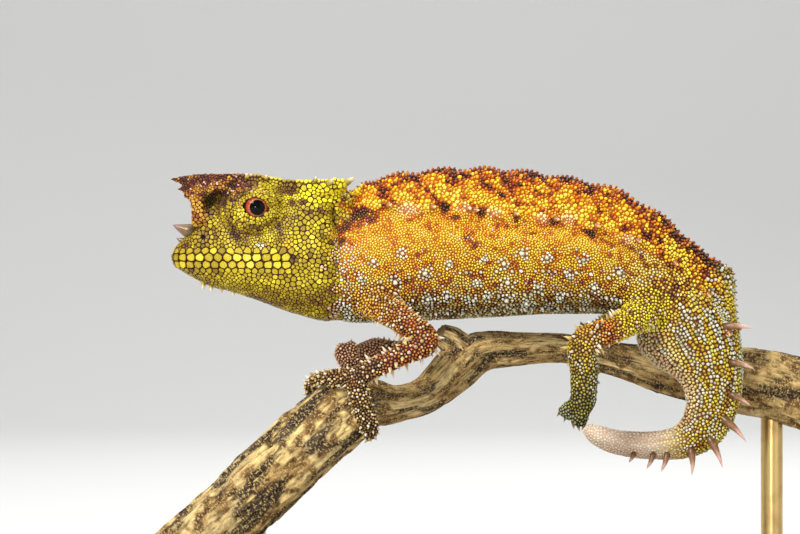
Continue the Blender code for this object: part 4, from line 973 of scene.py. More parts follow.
def tail_colours(points, survey, speckle):
    """Ridges of pale scales along the tail with olive and orange between, whitish on the inner side, and a
    plain cream tip."""
    s, down = survey["s"], eased(0.2, 1.0, survey["low"])
    streak = waves(np.stack([s / 5, survey["v"] * 2.2, 0 * s], axis=1), 0.9, 411)
    tone, bare = 0.5 + 0.2 * streak + 0.2 * speckle, eased(41.0, 44.5, s)
    colour = mixed(on_ramp(TAIL, tone), TAIL_INSIDE, 0.7 * down)
    colour = mixed(colour, on_ramp(TAIL_TIP, tone), bare)
    stain = hump(points[:, 0] - 18.0, 0.5) * hump(points[:, 2] - 17.9, 0.8)
    colour = mixed(colour, TAIL_STAIN, 0.7 * stain)
    ridge = eased(0.0, 0.4, np.cos(TAIL_RIDGES * survey["v"] + 0.8 * streak))
    return colour, (0.06 + 0.8 * ridge) * (1 - 0.9 * bare) * (1 - 0.5 * down)


def head_colours(points, survey, speckle):
    """Lemon lips and casque, olive turrets with their folds darkened as painted shade, a rust and golden
    crest, and a near-black spot of painted shadow in the pit behind the brow.
    """
    x, z, out = points[:, 0], points[:, 2], np.abs(points[:, 1])
    ahead, rise, reach = from_eye(points)
    clouds = waves(points, 1.6, 421) * 0.06 + waves(points, 0.6, 422) * 0.05
    marks = marked(points, HEAD_MARKS)
    tone = 0.6 + 1.3 * clouds + marks * eased(1.0, 1.8, out) + 0.06 * speckle
    tone = tone + 0.2 * hump(z - LIP_HEIGHT, 0.75) * eased(-13.2, -14.2, x)
    tone = tone - 0.17 * eased(29.0, 27.0, z) - 0.17 * eased(-18.0, -20.5, x)
    on_turret = eased(1.22, 1.08, turret_reach(points)) * (out > 1.6)
    # The folds round the turret are darkened with painted shade.
    rings = sum(hump(reach - fold, 0.17) for fold in TURRET_FOLDS)
    tone = tone + on_turret * (0.04 - 0.26 * rings * eased(0.8, -0.2, rise - 0.4 * ahead))
    tone = tone - 0.24 * on_turret * eased(0.4, 1.4, rise + 0.55 * ahead - 0.7)
    tone = tone + 0.34 * hump(reach - 1.2, 0.36) * eased(0.1, -0.5, rise)
    colour = on_ramp(OLIVE, np.minimum(tone, 0.9))
    rear = eased(-14.8, -13.0, x) * eased(34.4, 35.3, z) * (marks > -0.12)
    yellow = np.array(CASQUE_YELLOW) * np.clip(1 + 0.7 * clouds + 0.1 * speckle, 0.4, 1.3)[:, None]
    colour = mixed(colour, yellow, 0.92 * rear)
    strut = eased(-19.9, -20.5, x) * eased(32.9, 33.4, z)
    crest = np.maximum(eased(35.1, 36.1, z) * eased(-15.2, -17.6, x), strut)
    golden = 0.55 * strut * eased(35.7, 34.9, z)
    colour = mixed(colour, on_ramp(RUST, 0.4 + 2.2 * clouds + 0.2 * speckle + golden), crest * (tone > 0.1))
    for spot_x, spot_z, long, high, tint in HEAD_SPOTS:
        spot = np.exp(-(((x - spot_x) / long) ** 2 + ((z - spot_z) / high) ** 2) ** 2) * (out > 0.8)
        colour = mixed(colour, tint, 0.92 * spot)
    return colour, 0.07 * crest * (golden < 0.1)


def limb_colours(points, survey, speckle):
    """Maroon arms thick with cream, yellow thighs, rust knees and olive feet; the far hand is mauve."""
    which, share, x = survey["which"], survey["share"], points[:, 0]
    arm, far_arm, near_leg = which < 2, which == 1, which == 2
    hand = eased(0.85, 1.0, share)
    colour = np.where(arm[:, None], on_ramp(LIMB_STOPS["arm"], share), on_ramp(LIMB_STOPS["leg"], share))
    # The far forearm is golden tan, made paler than its own colour as painted light against the shade it lies
    # in.
    colour = mixed(colour, FAR_ARM_TAN_AND_LIGHT, far_arm * eased(0.45, 0.6, share) * 0.8)
    colour = mixed(colour, MAUVE, far_arm * hand * 0.95)
    clouds = waves(points, 1.1, 431) * 0.22 + waves(points, 0.5, 432) * 0.16 + 0.28 * speckle
    clouds = clouds * (1 - 0.7 * far_arm * hand)
    colour = colour * np.clip(1 + clouds, 0.15, 1.9)[:, None] ** (1, 1.25, 1.3)
    chance = np.where(arm, 0.22 - 0.1 * eased(0.3, 0.6, share) + 0.16 * hand, 0.08 * (1 - hand))
    edge = near_leg * eased(0.5, 0.6, share) * eased(10.1, 10.5, x)
    blob = near_leg * eased(1.2, 1.5, share) * eased(9.3, 8.7, x)
    colour = mixed(colour, PALE_TOE, 0.7 * blob)
    return colour, np.where(far_arm, 0.12 * (1 - hand), chance + 0.5 * edge)


def coloured(points, survey, speckle):
    """Each point's colour, and how likely a scale there is a pale one."""
    body, chance = body_colours(points, survey, speckle)
    others = [
        (eased(TAIL_START - 1.0, TAIL_START + 2.5, survey["s"]), tail_colours),
        (survey["limb"] * 1.0, limb_colours),
        (~survey["limb"] * head_border(points), head_colours),
    ]
    for share, field in others:
        colour, other_chance = field(points, survey, speckle)
        body, chance = mixed(body, colour, share), chance * (1 - share) + other_chance * share
    return np.clip(body, 0.003, 0.97), chance


def grained(name, scale, detail, shades, depth, **values):
    """A material with its painted colour, shaded from the first to the second of the shades by a fine
    grain, which also raises it."""
    finish = look(name, **values)
    grain = noise(finish, object_place(finish), scale, detail)
    shade = ramp(finish, grain, [(0.3, shades[0]), (0.7, shades[1])])
    into_shader(finish, "Base Color", blended(finish, 1.0, attribute(finish, "tone"), shade))
    raised(finish, grain, depth * MM)
    return finish


def skin_finish(name, roughness, scale, depth):
    return grained(name, scale, 2.0, SKIN_SHADES, depth, Roughness=roughness, Specular_IOR_Level=0.22)


def painted_gap_shade(survey):
    """How much of its colour the bare skin keeps between the scales, which is painted shade in the gaps,
    reddened too: most on the upper flank, least on the head."""
    s, body = survey["s"], survey["body"]
    warm = body * eased(0.5, -0.3, survey["low"]) * eased(27, 22, s)
    tip = body * eased(40.5, 43.0, s)
    keep = 0.14 + 0.05 * body + 0.26 * warm - 0.07 * survey["head"] + 0.5 * tip
    return keep[:, None] * mixed((1.0, 0.42, 0.25), (1.0, 0.86, 0.78), tip)


skin_look = skin_finish("bare_skin", 0.62, 9000.0, 0.03)
skin = mesh_piece("skin", skin_points, [skin_faces], skin_look)
skin_tones = coloured(skin_points, skin_survey, np.zeros(len(skin_points)))[0]
# The bare skin is painted darker than the scales' colour, as painted shade in the gaps between them.
paint(skin, skin_tones * painted_gap_shade(skin_survey))
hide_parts(*FLESH_NODES)


# The eyes are wet glass-like balls with a round black pupil in an orange-red iris. Each looks out through
# an almond opening in a thick lid of small granules, which is let into the top of its turret.

SIDE_NAMES = {-1: "left", 1: "right"}
PUPIL_TILT, IRIS_TILT, EYE_AIM = 0.5, 0.74, (0.15, -0.07)
IRIS_BRIGHT, IRIS_RED, RIM_MAROON = (0.5, 0.15, 0.06), (0.38, 0.07, 0.025), (0.04, 0.006, 0.008)
IRIS_STOPS = [  # angle off the eye's axis, and colour
    (0.0, (0.004, 0.003, 0.003)), (PUPIL_TILT - 0.02, (0.005, 0.003, 0.003)),
    (PUPIL_TILT + 0.02, IRIS_BRIGHT), (0.5 * (PUPIL_TILT + IRIS_TILT), IRIS_RED),
    (IRIS_TILT, (0.3, 0.04, 0.02)), (IRIS_TILT + 0.08, RIM_MAROON), (1.0, (0.02, 0.006, 0.005)),
]
OPENING_CENTRE, OPENING_HALF = (0.0, -0.05), (1.0, 0.75)
LID_FOOT, LID_OVER_EYE, LID_EDGE = 2.02, 0.1, 0.09
LID_FACE, LID_ROLL, LID_BACK, LID_TURNS, LID_GAP_SHADE = 16, 6, 8, 120, (0.16, 0.08, 0.06)


def wet_eye():
    """Iris by the angle off the eye's axis, with radial streaks, under a clear coat."""
    values = {"Coat_Weight": 1.0, "Coat_IOR": 1.2, "Coat_Roughness": 0.02}
    finish = look("wet_eye", Roughness=0.5, Specular_IOR_Level=0.0, **values)
    gaze = attribute(finish, "gaze", "Vector")
    tilt = feed(finish, "ShaderNodeVectorMath", {0: gaze}, operation="LENGTH").outputs["Value"]
    way = feed(finish, "ShaderNodeVectorMath", {0: gaze}, operation="NORMALIZE").outputs["Vector"]
    shade = ramp(finish, noise(finish, way, 7.0, 3.0), [(0.3, (0.45, 0.4, 0.4)), (0.7, (1.4, 1.5, 1.5))])
    into_shader(finish, "Base Color", blended(finish, 1.0, ramp(finish, tilt, IRIS_STOPS), shade))
    return finish


def eyeball(way, finish):
    """A ball by its angle off the eye's axis and the turn round it, a little raised over the pupil."""
    tilt, turn = np.linspace(0.01, math.pi - 0.01, 80)[:, None], full_turn(96)[None]
    aim = unit(np.array((EYE_AIM[0], way, EYE_AIM[1])))
    across = unit(np.cross(aim, (0, 0, 1)))
    out = turned(tilt, aim, turned(turn, across, np.cross(aim, across)))
    points = EYE_CENTRE * (1, way, 1) + EYE_RADIUS * (1 + 0.02 * hump(tilt, 0.6, 4))[..., None] * out
    piece = mesh_piece(f"eyeball_{SIDE_NAMES[way]}", points.reshape(-1, 3), ring_faces(80, 96), finish)
    gaze = np.stack(np.broadcast_arrays(tilt * np.cos(turn), tilt * np.sin(turn), 0.0), axis=-1)
    keep_vectors(piece, "gaze", gaze)
    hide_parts(f"eye_{SIDE_NAMES[way]}")


def lid_surface(turn, out, way):
    """The lid's outer face by the turn round the opening and the way out from its rim, 0, to its foot, 1.
    It lies over whichever stands higher, the ball or the turret, and rolls over at the rim."""
    c, s = np.cos(turn), np.sin(turn)
    rim_a = OPENING_CENTRE[0] + OPENING_HALF[0] * c
    rim_b = OPENING_CENTRE[1] + OPENING_HALF[1] * s * np.abs(s) ** (0.25 * (1 + c))
    a, b = rim_a + out * (LID_FOOT * c - rim_a), rim_b + out * (LID_FOOT / WIDER_THAN_HIGH * s - rim_b)
    x, z = EYE_CENTRE[0] - a, EYE_CENTRE[2] + b
    inside = 1 - ((x - TURRET_CENTRE[0]) / TURRET_RADII[0]) ** 2
    inside = inside - ((z - TURRET_CENTRE[2]) / TURRET_RADII[2]) ** 2
    turret = TURRET_CENTRE[1] + TURRET_RADII[1] * np.sqrt(np.clip(inside, 0, 1)) - COAT
    ball = EYE_CENTRE[1] + np.sqrt(np.clip((EYE_RADIUS + LID_OVER_EYE) ** 2 - a * a - b * b, 0, None))
    y = 0.5 * (turret + ball + np.sqrt((turret - ball) ** 2 + 0.02)) - 0.05 * eased(0.6, 1.0, out)
    y = y - 0.07 * hump(out - 0.72, 0.12) - LID_EDGE * np.clip(1 - out / 0.06, 0, 1) ** 2
    return np.stack([x, way * y, z], axis=-1)


def lid_rings(way):
    """Rings from the foot over the outer face to the rim, then back below it, as a closed tyre."""
    out = [np.linspace(1, 0.1, LID_FACE), np.linspace(0.08, 0, LID_ROLL), np.linspace(0, 1, LID_BACK)]
    out = np.concatenate(out)
    below = np.concatenate([np.zeros(LID_FACE + LID_ROLL), np.linspace(0.1, 0.45, LID_BACK)])
    rings = lid_surface(full_turn(LID_TURNS)[None], out[:, None], way)
    rings[..., 1] -= way * below[:, None]
    return rings, out


def tyre_faces(count, sides):
    """Quads between rings of equal size, the last of them joined to the first."""
    number = np.arange(count * sides).reshape(count, sides)
    corners = [number, np.roll(number, -1, axis=1)]
    corners += [np.roll(corner, -1, axis=0) for corner in corners[::-1]]
    return [np.stack(corners, axis=-1).reshape(-1, 4)]


eye_look, lid_look = wet_eye(), skin_finish("eyelid", 0.5, 9000.0, 0.02)
for way in (-1, 1):
    eyeball(way, eye_look)
    rings, lid_out = lid_rings(way)
    lid_points, faces = rings.reshape(-1, 3), tyre_faces(len(rings), LID_TURNS)
    lid = mesh_piece(f"eyelid_{SIDE_NAMES[way]}", lid_points, faces, lid_look)
    # The lid's own skin is darkened to a fraction of the head's colour, as painted shade between its scales.
    lid_tones = head_colours(lid_points, {}, np.zeros(len(lid_points)))[0] * LID_GAP_SHADE
    paint(lid, mixed(lid_tones, RIM_MAROON, np.repeat(eased(0.12, 0.05, lid_out), LID_TURNS)))


# The scales. Each is its own small plate, granule, kernel or cone of horn, rooted in the skin. Rows along
# lips, rim, crests, roof, keel, tail and limbs are laid first. The rest is filled in at random at each
# place's spacing, and every scale's outline stops short of its neighbours.

LABIAL_ROWS = [  # height over the line of the lips, pitch, height and size of the plate
    (0.3, 0.78, 0.075, 0.82), (-0.3, 0.72, 0.09, 0.78), (0.82, 0.7, 0.07, 0.64), (-0.8, 0.54, 0.07, 0.56),
]
LABIAL_END = -13.5
NOSTRIL_RINGS = [(8, 0.4, 0.09), (12, 0.7, 0.075)]
ROOF_ROWS, ROOF_STEP, KEEL_STEP, RIM_STEP, KEEL_TINT = 9, 0.27, 0.36, 0.34, (0.36, 0.09, 0.03)
ROOF_SIZES, ROOF_HEIGHT, RIM_HEIGHT = (0.2, 0.34), 0.14, 0.09
KEEL_SCALE, CREST_CONE = (0.38, 0.26), (0.2, 0.17)
HEART_HEIGHT, PETAL_SIZE, PETAL_HEIGHT, PETALS_KEPT = 0.24, 0.25, 0.13, 0.75
SPIKE, FRINGE_SIZES, FRINGE_HEIGHT, FRINGE_KEPT, JITTER = (0.46, 0.62), (0.28, 0.5), 0.32, 0.65, (-0.4, 0.4)
ROSETTES = [
    (-0.9, 30.0), (-2.8, 29.3), (1.3, 28.6), (3.7, 28.6), (4.8, 30.9), (6.8, 30.6), (-6.9, 30.3),
    (-7.9, 29.0), (1.9, 30.4), (3.4, 30.1), (-2.6, 27.3), (-1.1, 27.5), (1.0, 27.2), (2.2, 27.5), (3.6, 27.2),
    (6.1, 28.3), (8.6, 29.2), (10.6, 28.2), (9.7, 30.4), (12.6, 29.4), (-5.2, 28.6), (-4.6, 30.9),
    (7.9, 27.4), (5.2, 27.0),
]  # x and z
ROSETTE_SIZE, ROSETTE_RING, ROSETTE_PETALS = 0.5, 0.4, 9
PACKING, CANDIDATES, EVENINGS = 0.82, 8.0, 2
APEX_HIGHLIGHT, DEEP_SHADE_TINT, PLATE_REACH, OTHER_REACH = (0.98, 0.84, 0.24), (1.0, 0.7, 0.6), 0.85, 0.62
NEIGHBOURS, DISC_RADIUS, PLATE_EDGE = 10, 0.0015, math.radians(35)
OLIVE_CONE, PALE_MID, CREAM_MID = (0.26, 0.3, 0.15), 0.62, 0.62
# The shade of each row is painted light: below 1 it darkens and reddens the scale towards its foot as painted
# shade in the gaps, above 1 it lightens the top as a painted highlight.
SCALE_FORMS = {  # sides, corners' sharpness, gap, then rows (share of reach, height, lean, shade) to the top
    "plate": (12, 20.0, 0.115, [
        (1.0, -0.8, 0.0, 0.15), (0.96, 0.6, 0.01, 0.55), (0.84, 1.0, 0.02, 1.0), (0.0, 1.1, 0.03, 1.04),
    ]),
    "granule": (7, 5.0, 0.05, [(1.0, -0.8, 0.0, 0.3), (0.86, 0.42, 0.03, 0.85), (0.0, 1.0, 0.08, 1.3)]),
    "kernel": (8, 6.0, 0.04, [
        (1.0, -0.8, 0.0, 0.3), (0.9, 0.35, 0.05, 0.8), (0.55, 0.88, 0.1, 1.0), (0.0, 1.08, 0.14, 1.25),
    ]),
    "cone": (8, 4.0, 0.04, [
        (1.0, -0.6, 0.0, 0.4), (0.8, 0.2, 0.06, 0.8), (0.42, 0.62, 0.16, 1.0), (0.0, 1.0, 0.32, 1.3),
    ]),
}
FORM_NUMBERS = {name: k for k, name in enumerate(SCALE_FORMS)}
ORDINARY, TUBERCLE, KEEL, CREAM_CONE = range(4)
LIMB_CONE_STEP, LIMB_CONES_ROUND, FRINGE_STEP, FRINGE_PLACES = 0.62, 6, 0.62, (9, 10, 11)
LIMB_SPIKES = np.array([
    (-5.3, -4.7, 21.5), (-6.6, -4.6, 20.9), (-4.2, -4.9, 22.0), (-6.0, -4.7, 23.4), (-7.4, -4.5, 22.9),
    (-1.4, -4.7, 24.4), (-3.1, -4.8, 22.6), (-1.9, -4.7, 23.2), (10.9, -3.8, 22.6), (11.0, -3.8, 21.7),
    (11.0, -3.7, 20.8), (8.4, -3.9, 23.5), (8.5, -3.8, 22.2), (10.9, -3.9, 23.6), (9.2, -3.9, 25.1),
    (8.5, -3.9, 24.3),
])  # places at the near limbs' edges
LID_ROWS, LID_PITCH, CREST_STEP = 5, 0.205, 0.48
TAIL_ROWS, TAIL_STEP, TAIL_COATED, FAR_OFF = 48, 0.33, 41.0, 1e3


def tree_of(points):
    tree = KDTree(len(points))
    for number, point in enumerate(points.tolist()):
        tree.insert(point, number)
    tree.balance()
    return tree


skin_tree = BVHTree.FromPolygons(skin_points.tolist(), skin_faces.tolist())
point_tree = tree_of(skin_points)


def on_skin(points):
    """The nearest places on the skin."""
    return np.array([tuple(skin_tree.find_nearest(point)[0]) for point in points.tolist()])


def skin_way(points):
    """The skin's outward direction near each point."""
    return skin_normals[[point_tree.find(point)[1] for point in points.tolist()]]


def stepped(path, step, start=0.0):
    """Places a step apart along a polyline."""
    length = length_along(path)
    at = np.arange(start * step, length[-1], step)
    return np.stack([np.interp(at, length, path[:, k]) for k in range(path.shape[1])], axis=1)


def laid_out(points, size, form, height, mark=ORDINARY):
    """Rows of place, size, form, height and mark."""
    rest = (np.broadcast_to(part, len(points)) for part in (size, FORM_NUMBERS[form], height, mark))
    return np.column_stack([points, *rest])


def lip_seeds():
    """Rows of plates that follow the plan of the head above and below the line of the lips."""
    rows = along(HEAD, np.linspace(0, len(HEAD) - 1, 400))
    beds = []
    for rise, pitch, height, wide in LABIAL_ROWS:
        z = LIP_HEIGHT + rise
        edge, off = rows[:, 1 if rise > 0 else 3], abs(rise)
        used = (rows[:, 0] < LABIAL_END + 0.8 * off) & ((edge - z) / (edge - rows[:, 2]) > 0.25)
        level = off / np.abs(edge[used] - LIP_HEIGHT)
        half = rows[used, 4] * np.clip(1 - level ** 2.6, 0, 1) ** 0.38
        for way in (-1, 1):
            path = np.stack([rows[used, 0], way * half, np.full(used.sum(), z)], axis=1)
            path = np.vstack([[path[0, 0] - 0.02, 0.0, z], path])
            beds.append(laid_out(stepped(path, pitch, 0.5), wide, "plate", height))
    return beds


def ring_in_view(centre, radius, count, way, turn=0.0):
    """Places on a circle in the side view, out at the head's flank."""
    angle = turn + full_turn(count)
    x, z = centre[0] + radius * np.cos(angle), centre[1] + radius * np.sin(angle)
    return np.stack([x, np.full(count, way * 6.0), z], axis=1)


def cast(points, way):
    """The first place on the skin that a level ray from the side meets, where there is one."""
    hits = [skin_tree.ray_cast(point, (0, -way, 0)) for point in points.tolist()]
    return np.array([tuple(hit[0]) for hit in hits if hit[0] is not None and abs(hit[0][1]) > 0.4])


def roof_seeds():
    """Kernels in rows from the keel down to the roof's edge, each row set back from the one above."""
    beds, draw = [], np.random.default_rng(6)
    for j in range(ROOF_ROWS):
        s = np.arange(0.4 + 0.5 * ROOF_STEP * (j % 2), LOBE_START + LOBES * LOBE_PITCH, ROOF_STEP)
        s = s + ROOF_STEP * draw.uniform(*JITTER, len(s))
        share = (j + 0.75 + draw.uniform(*JITTER, len(s))) / ROOF_ROWS
        centre, side, up, _, sizes = body_frames(s)
        half = body_outlines(s, sizes)
        place = half[:, 0] + share[:, None] * (half[:, 1] - half[:, 0])
        place[:, 1] += 0.25 * np.sin(math.pi * share)
        width = np.linalg.norm(half[:, 1] - half[:, 0], axis=1) / ROOF_ROWS
        for way in (-1, 1):
            points = centre + way * place[:, :1] * side + place[:, 1:] * up
            size = np.clip(0.5 * (width + ROOF_STEP), *ROOF_SIZES) * draw.uniform(0.75, 1.3, len(s))
            beds.append(laid_out(points, size, "kernel", ROOF_HEIGHT))
    return beds


def tail_seeds():
    """Rows of scales along the tail's root and middle, as many round it as its girth takes."""
    s = np.arange(TAIL_START, TAIL_COATED, TAIL_STEP)
    rings = body_rings(s, 0.0, 4)
    rings += np.random.default_rng(4).normal(scale=0.06, size=rings.shape)
    beds = []
    for k in range(TAIL_ROWS):
        bed = laid_out(rings[:, k], 0.31 - 0.05 * (s > 36), "kernel", 0.12)
        beds.append(bed[(s < 34) | (k % 2 == 0) & (s < 38) | (k % 3 == 0) & (s > 38)])
    return beds


def keel_seeds():
    s = np.arange(0.5, LOBE_START + LOBES * LOBE_PITCH + 1.0, KEEL_STEP)
    centre, _, up, _, sizes = body_frames(s)
    points, (size, height) = centre + body_outlines(s, sizes)[:, 0, 1:] * up, KEEL_SCALE
    return [laid_out(points, size, "kernel", height, KEEL)]


def rim_seeds():
    """A row of plates along the helmet's rim."""
    x, half, rim, _ = along(HELMET, np.linspace(0.6, len(HELMET) - 1, 200)).T
    paths = [np.stack([x, way * 0.97 * half, rim], axis=1) for way in (-1, 1)]
    return [laid_out(stepped(path, RIM_STEP), RIM_STEP, "plate", RIM_HEIGHT) for path in paths]


def rosette_seeds():
    """Tubercles on the flank, each with a loose ring of smaller ones, seen level from the side."""
    beds, petal = [], np.random.default_rng(8)
    grown = petal.uniform(0.65, 1.1, len(ROSETTES))
    for way in (-1, 1):
        for k, (x, z) in enumerate(ROSETTES):
            heart = cast(np.array([(x, way * 9.0, z)]), way)
            reach = ROSETTE_RING * petal.uniform(0.6, 1.5, ROSETTE_PETALS) * grown[k]
            ring = cast(ring_in_view((x, z), reach, ROSETTE_PETALS, way * 1.5, 0.7 * k), way)
            ring = ring[petal.random(len(ring)) < PETALS_KEPT]
            beds.append(laid_out(heart, ROSETTE_SIZE * grown[k], "kernel", HEART_HEIGHT, TUBERCLE))
            beds.append(laid_out(ring, PETAL_SIZE, "kernel", PETAL_HEIGHT, TUBERCLE))
    return beds


def nostril_seeds():
    beds = []
    for count, radius, height in NOSTRIL_RINGS:
        for way in (-1, 1):
            ring = cast(ring_in_view(NOSTRIL[[0, 2]], radius, count, way), way)
            beds.append(laid_out(ring, math.tau * radius / count, "plate", height))
    return beds


def lid_scales(way):
    """Places, directions and sizes of plates in uneven rings on a lid, wider apart below the opening."""
    places, sizes, draw = [], [], np.random.default_rng(2)
    for k in range(LID_ROWS):
        out = (k + 0.75) / (LID_ROWS + 0.25)
        count = round(math.tau * (0.92 + 1.05 * out) / LID_PITCH)
        turn = 0.37 * k + full_turn(count)
        turn = turn + 0.25 * np.cos(turn) + draw.uniform(-0.5, 0.5, count) * LID_PITCH
        places.append(np.stack([turn, out + draw.uniform(-0.09, 0.09, count)], axis=1))
        sizes.append(LID_PITCH * draw.uniform(0.65, 1.5, count))
    turn, out = np.concatenate(places).T
    at, step = lid_surface(turn, out, way), 0.01
    across, outward = lid_surface(turn + step, out, way) - at, lid_surface(turn, out + step, way) - at
    normal = unit(np.cross(across, outward))
    return at, normal * np.sign(normal[:, 1:2] * way), np.concatenate(sizes)


def crest_seeds():
    """Small cones along the toothed front edge of each brow crest."""
    beds = []
    for way in (-1, 1):
        x, z = stepped(np.vstack([BROW_CREST[9:], BROW_CREST[:2]]), CREST_STEP).T
        y = CREST_INNER + CREST_LEAN * (z - BROW_CREST[:, 1].min()) + 0.5 * CREST_THICKNESS
        beds.append(laid_out(np.stack([x, way * y, z], axis=1), CREST_CONE[0], "cone", CREST_CONE[1]))
    return beds


def limb_seeds():
    """Cones in staggered rows along the limbs, and low ones along the toes."""
    centre, _, _, _, sizes = body_frames(np.linspace(0, spine_lengths[-1], 200))
    beds = []
    for limb, rows in LIMBS.items():
        tables = [(np.array(rows), 1.0)] + [(np.array(bundle), 0.55) for toes, bundle in GRIPS[limb] if toes]
        for table, scale in tables:
            placed = along(table, even_places(table, LIMB_CONE_STEP)[0][1:])
            across, beside = carried_frames(np.gradient(placed[:, :3], axis=0), np.array(LIMB_REFERENCE))
            angle = np.arange(len(placed))[:, None] * 0.8 + full_turn(LIMB_CONES_ROUND)
            out = turned(angle, across[:, None], beside[:, None])
            points = (placed[:, None, :3] + placed[:, None, 3:] * out).reshape(-1, 3)
            tall = scale * np.where(np.arange(len(points)) % 5 == 0, 1.0, 0.35)
            bed = laid_out(points, 0.27 + 0.2 * tall, "cone", 0.15 + 0.42 * tall, CREAM_CONE)
            beds.append(bed[nearest_rows(points, centre, sizes[:, :3].min(axis=1))[1] > 0.98])
    return beds + [laid_out(LIMB_SPIKES, SPIKE[0], "cone", SPIKE[1], CREAM_CONE)]


def fringe_seeds():
    """Pale cones scattered along the belly's edge, up to the tail."""
    beds, draw = [], np.random.default_rng(9)
    for row, place in enumerate(FRINGE_PLACES):
        s = np.arange(FRINGE_STEP * (1 + 0.3 * row), TAIL_START + 4, FRINGE_STEP)
        s = (s + FRINGE_STEP * draw.uniform(*JITTER, len(s)))[draw.random(len(s)) < FRINGE_KEPT]
        rings = body_rings(s, 0.0, 2)
        for k in (place, 24 - place):
            size = draw.uniform(*FRINGE_SIZES, len(s))
            beds.append(laid_out(rings[:, k], size, "cone", FRINGE_HEIGHT, TUBERCLE))
    return beds


def spacings(points, survey):
    """The spacing of the scales at each point of the skin, 0 where none stand."""
    s, x, z, out = survey["s"], points[:, 0], points[:, 2], np.abs(points[:, 1])
    body = 0.195 + 0.05 * eased(0.3, 0.9, survey["low"]) + 0.07 * eased(23, 27, s)
    body = body + 0.04 * eased(2.5, 0.0, s) - 0.03 * eased(38, 44, s)
    head = 0.33 - 0.07 * eased(29.2, 28.0, z) + 0.03 * eased(-15, -12, x)
    head = head - 0.05 * eased(-20, -21.5, x) - 0.12 * eased(-17, -18, x) * eased(34.9, 35.5, z)
    reach = from_eye(points)[2]
    near_eye = eased(3.8, 3.2, reach) * (out > 1.4)
    head = (head + near_eye * (0.24 - head)) * (1 + 0.22 * np.clip(waves(points, 0.9, 451), -1.3, 1.8))
    limb = 0.235 - 0.03 * eased(1.0, 1.5, survey["share"])
    spacing = np.where(survey["limb"], limb, body)
    spacing = spacing + head_border(points) * ~survey["limb"] * (head - spacing)
    bare = (reach < 2.0) & (turret_reach(points) < 1.27) & (out > 2)
    bare |= np.hypot(x - NOSTRIL[0], z - NOSTRIL[2]) + 10 * (out < 1) < 0.28
    mouth = (np.abs(z - LIP_HEIGHT) < 0.06) & (x < MOUTH_CORNER) & survey["head"]
    return np.where(bare | mouth, 0.0, spacing)


def candidates(spacing):
    """Random places on the skin's quads, as many for each as its area holds at its spacing."""
    draw = np.random.default_rng(77)
    a, b, c, d = (skin_points[skin_faces[:, k]] for k in range(4))
    area = 0.5 * np.linalg.norm(np.cross(c - a, d - b), axis=1)
    here = spacing[skin_faces].min(axis=1)
    wanted = np.where(here > 0, CANDIDATES * 1.1 * area / np.maximum(here, 0.1) ** 2, 0)
    count = np.floor(wanted + draw.random(len(wanted))).astype(int)
    quad = np.repeat(np.arange(len(count)), count)
    u, v = draw.random((2, len(quad), 1))
    order = draw.permutation(len(quad))
    places = (1 - u) * (1 - v) * a[quad] + u * (1 - v) * b[quad] + u * v * c[quad] + (1 - u) * v * d[quad]
    return places[order], here[quad][order]


def thinned(seeds, seed_sizes, others, spacing):
    """Which of the other places stay, when each kept one bars the places nearer than its spacing."""
    tree = tree_of(others)
    free = bytearray(b"\1") * len(others)
    for point, size in zip(seeds.tolist(), seed_sizes.tolist()):
        for _, number, _ in tree.find_range(point, 0.5 * (0.95 * size + 0.2)):
            free[number] = 0
    kept = []
    reach = (PACKING * spacing).tolist()
    for k, point in enumerate(others.tolist()):
        if free[k]:
            kept.append(k)
            for _, number, _ in tree.find_range(point, reach[k]):
                free[number] = 0
    return np.array(kept)


def evened(points, fixed, cloud):
    """Each free point moved to the middle of the places of the cloud that lie nearest to it."""
    tree = tree_of(np.vstack([fixed, points]))
    owner = np.array([tree.find(place)[1] for place in cloud.tolist()]) - len(fixed)
    cloud, owner = cloud[owner >= 0], owner[owner >= 0]
    count = np.bincount(owner, minlength=len(points))[:, None]
    middle = summed(owner, cloud, len(points)) / np.maximum(count, 1)
    return on_skin(np.where(count > 2, middle, points))


def with_neighbours(bed):
    """Adds to each scale its own directions, and the bearings and shared spans to its neighbours: a span
    is the part of the way to a neighbour that this scale may fill."""
    at, normal, size = bed["at"], bed["normal"], bed["size"]
    lie = unit(bed["lie"] - normal * (bed["lie"] * normal).sum(axis=1, keepdims=True) + 1e-6)
    side = np.cross(normal, lie)
    tree = tree_of(at)
    found = (tree.find_n(point, NEIGHBOURS + 1) for point in at.tolist())
    near = np.array([[number for _, number, _ in row] for row in found])
    off = at[near] - at[:, None]
    u, v = (off * lie[:, None]).sum(axis=2), (off * side[:, None]).sum(axis=2)
    far = np.linalg.norm(off, axis=2)
    other = (far > 1e-6) & ((normal[near] * normal[:, None]).sum(axis=2) > -0.2)
    share = size[:, None] / (size[:, None] + size[near])
    span = np.where(other, np.maximum(far, 0.02) * share, FAR_OFF)
    return {**bed, "lie": lie, "side": side, "bearing": np.arctan2(v, u), "span": span}


def scale_faces(count, size, sides, layers):
    """Faces of so many scales of a size in points: a base, walls between the layers and a fan to the top."""
    first = np.arange(count)[:, None, None] * size
    here = np.arange(sides)
    following = (here + 1) % sides
    walls = [
        np.stack([k + here, k + following, k + sides + following, k + sides + here], axis=1)
        for k in range(0, layers * sides, sides)
    ]
    top = layers * sides
    fan = np.stack([top + here, top + following, np.full(sides, size - 1)], axis=1)
    walls = (first + np.concatenate(walls)).reshape(-1, 4)
    return [first[:, 0] + here[::-1], walls, (first + fan).reshape(-1, 3)]


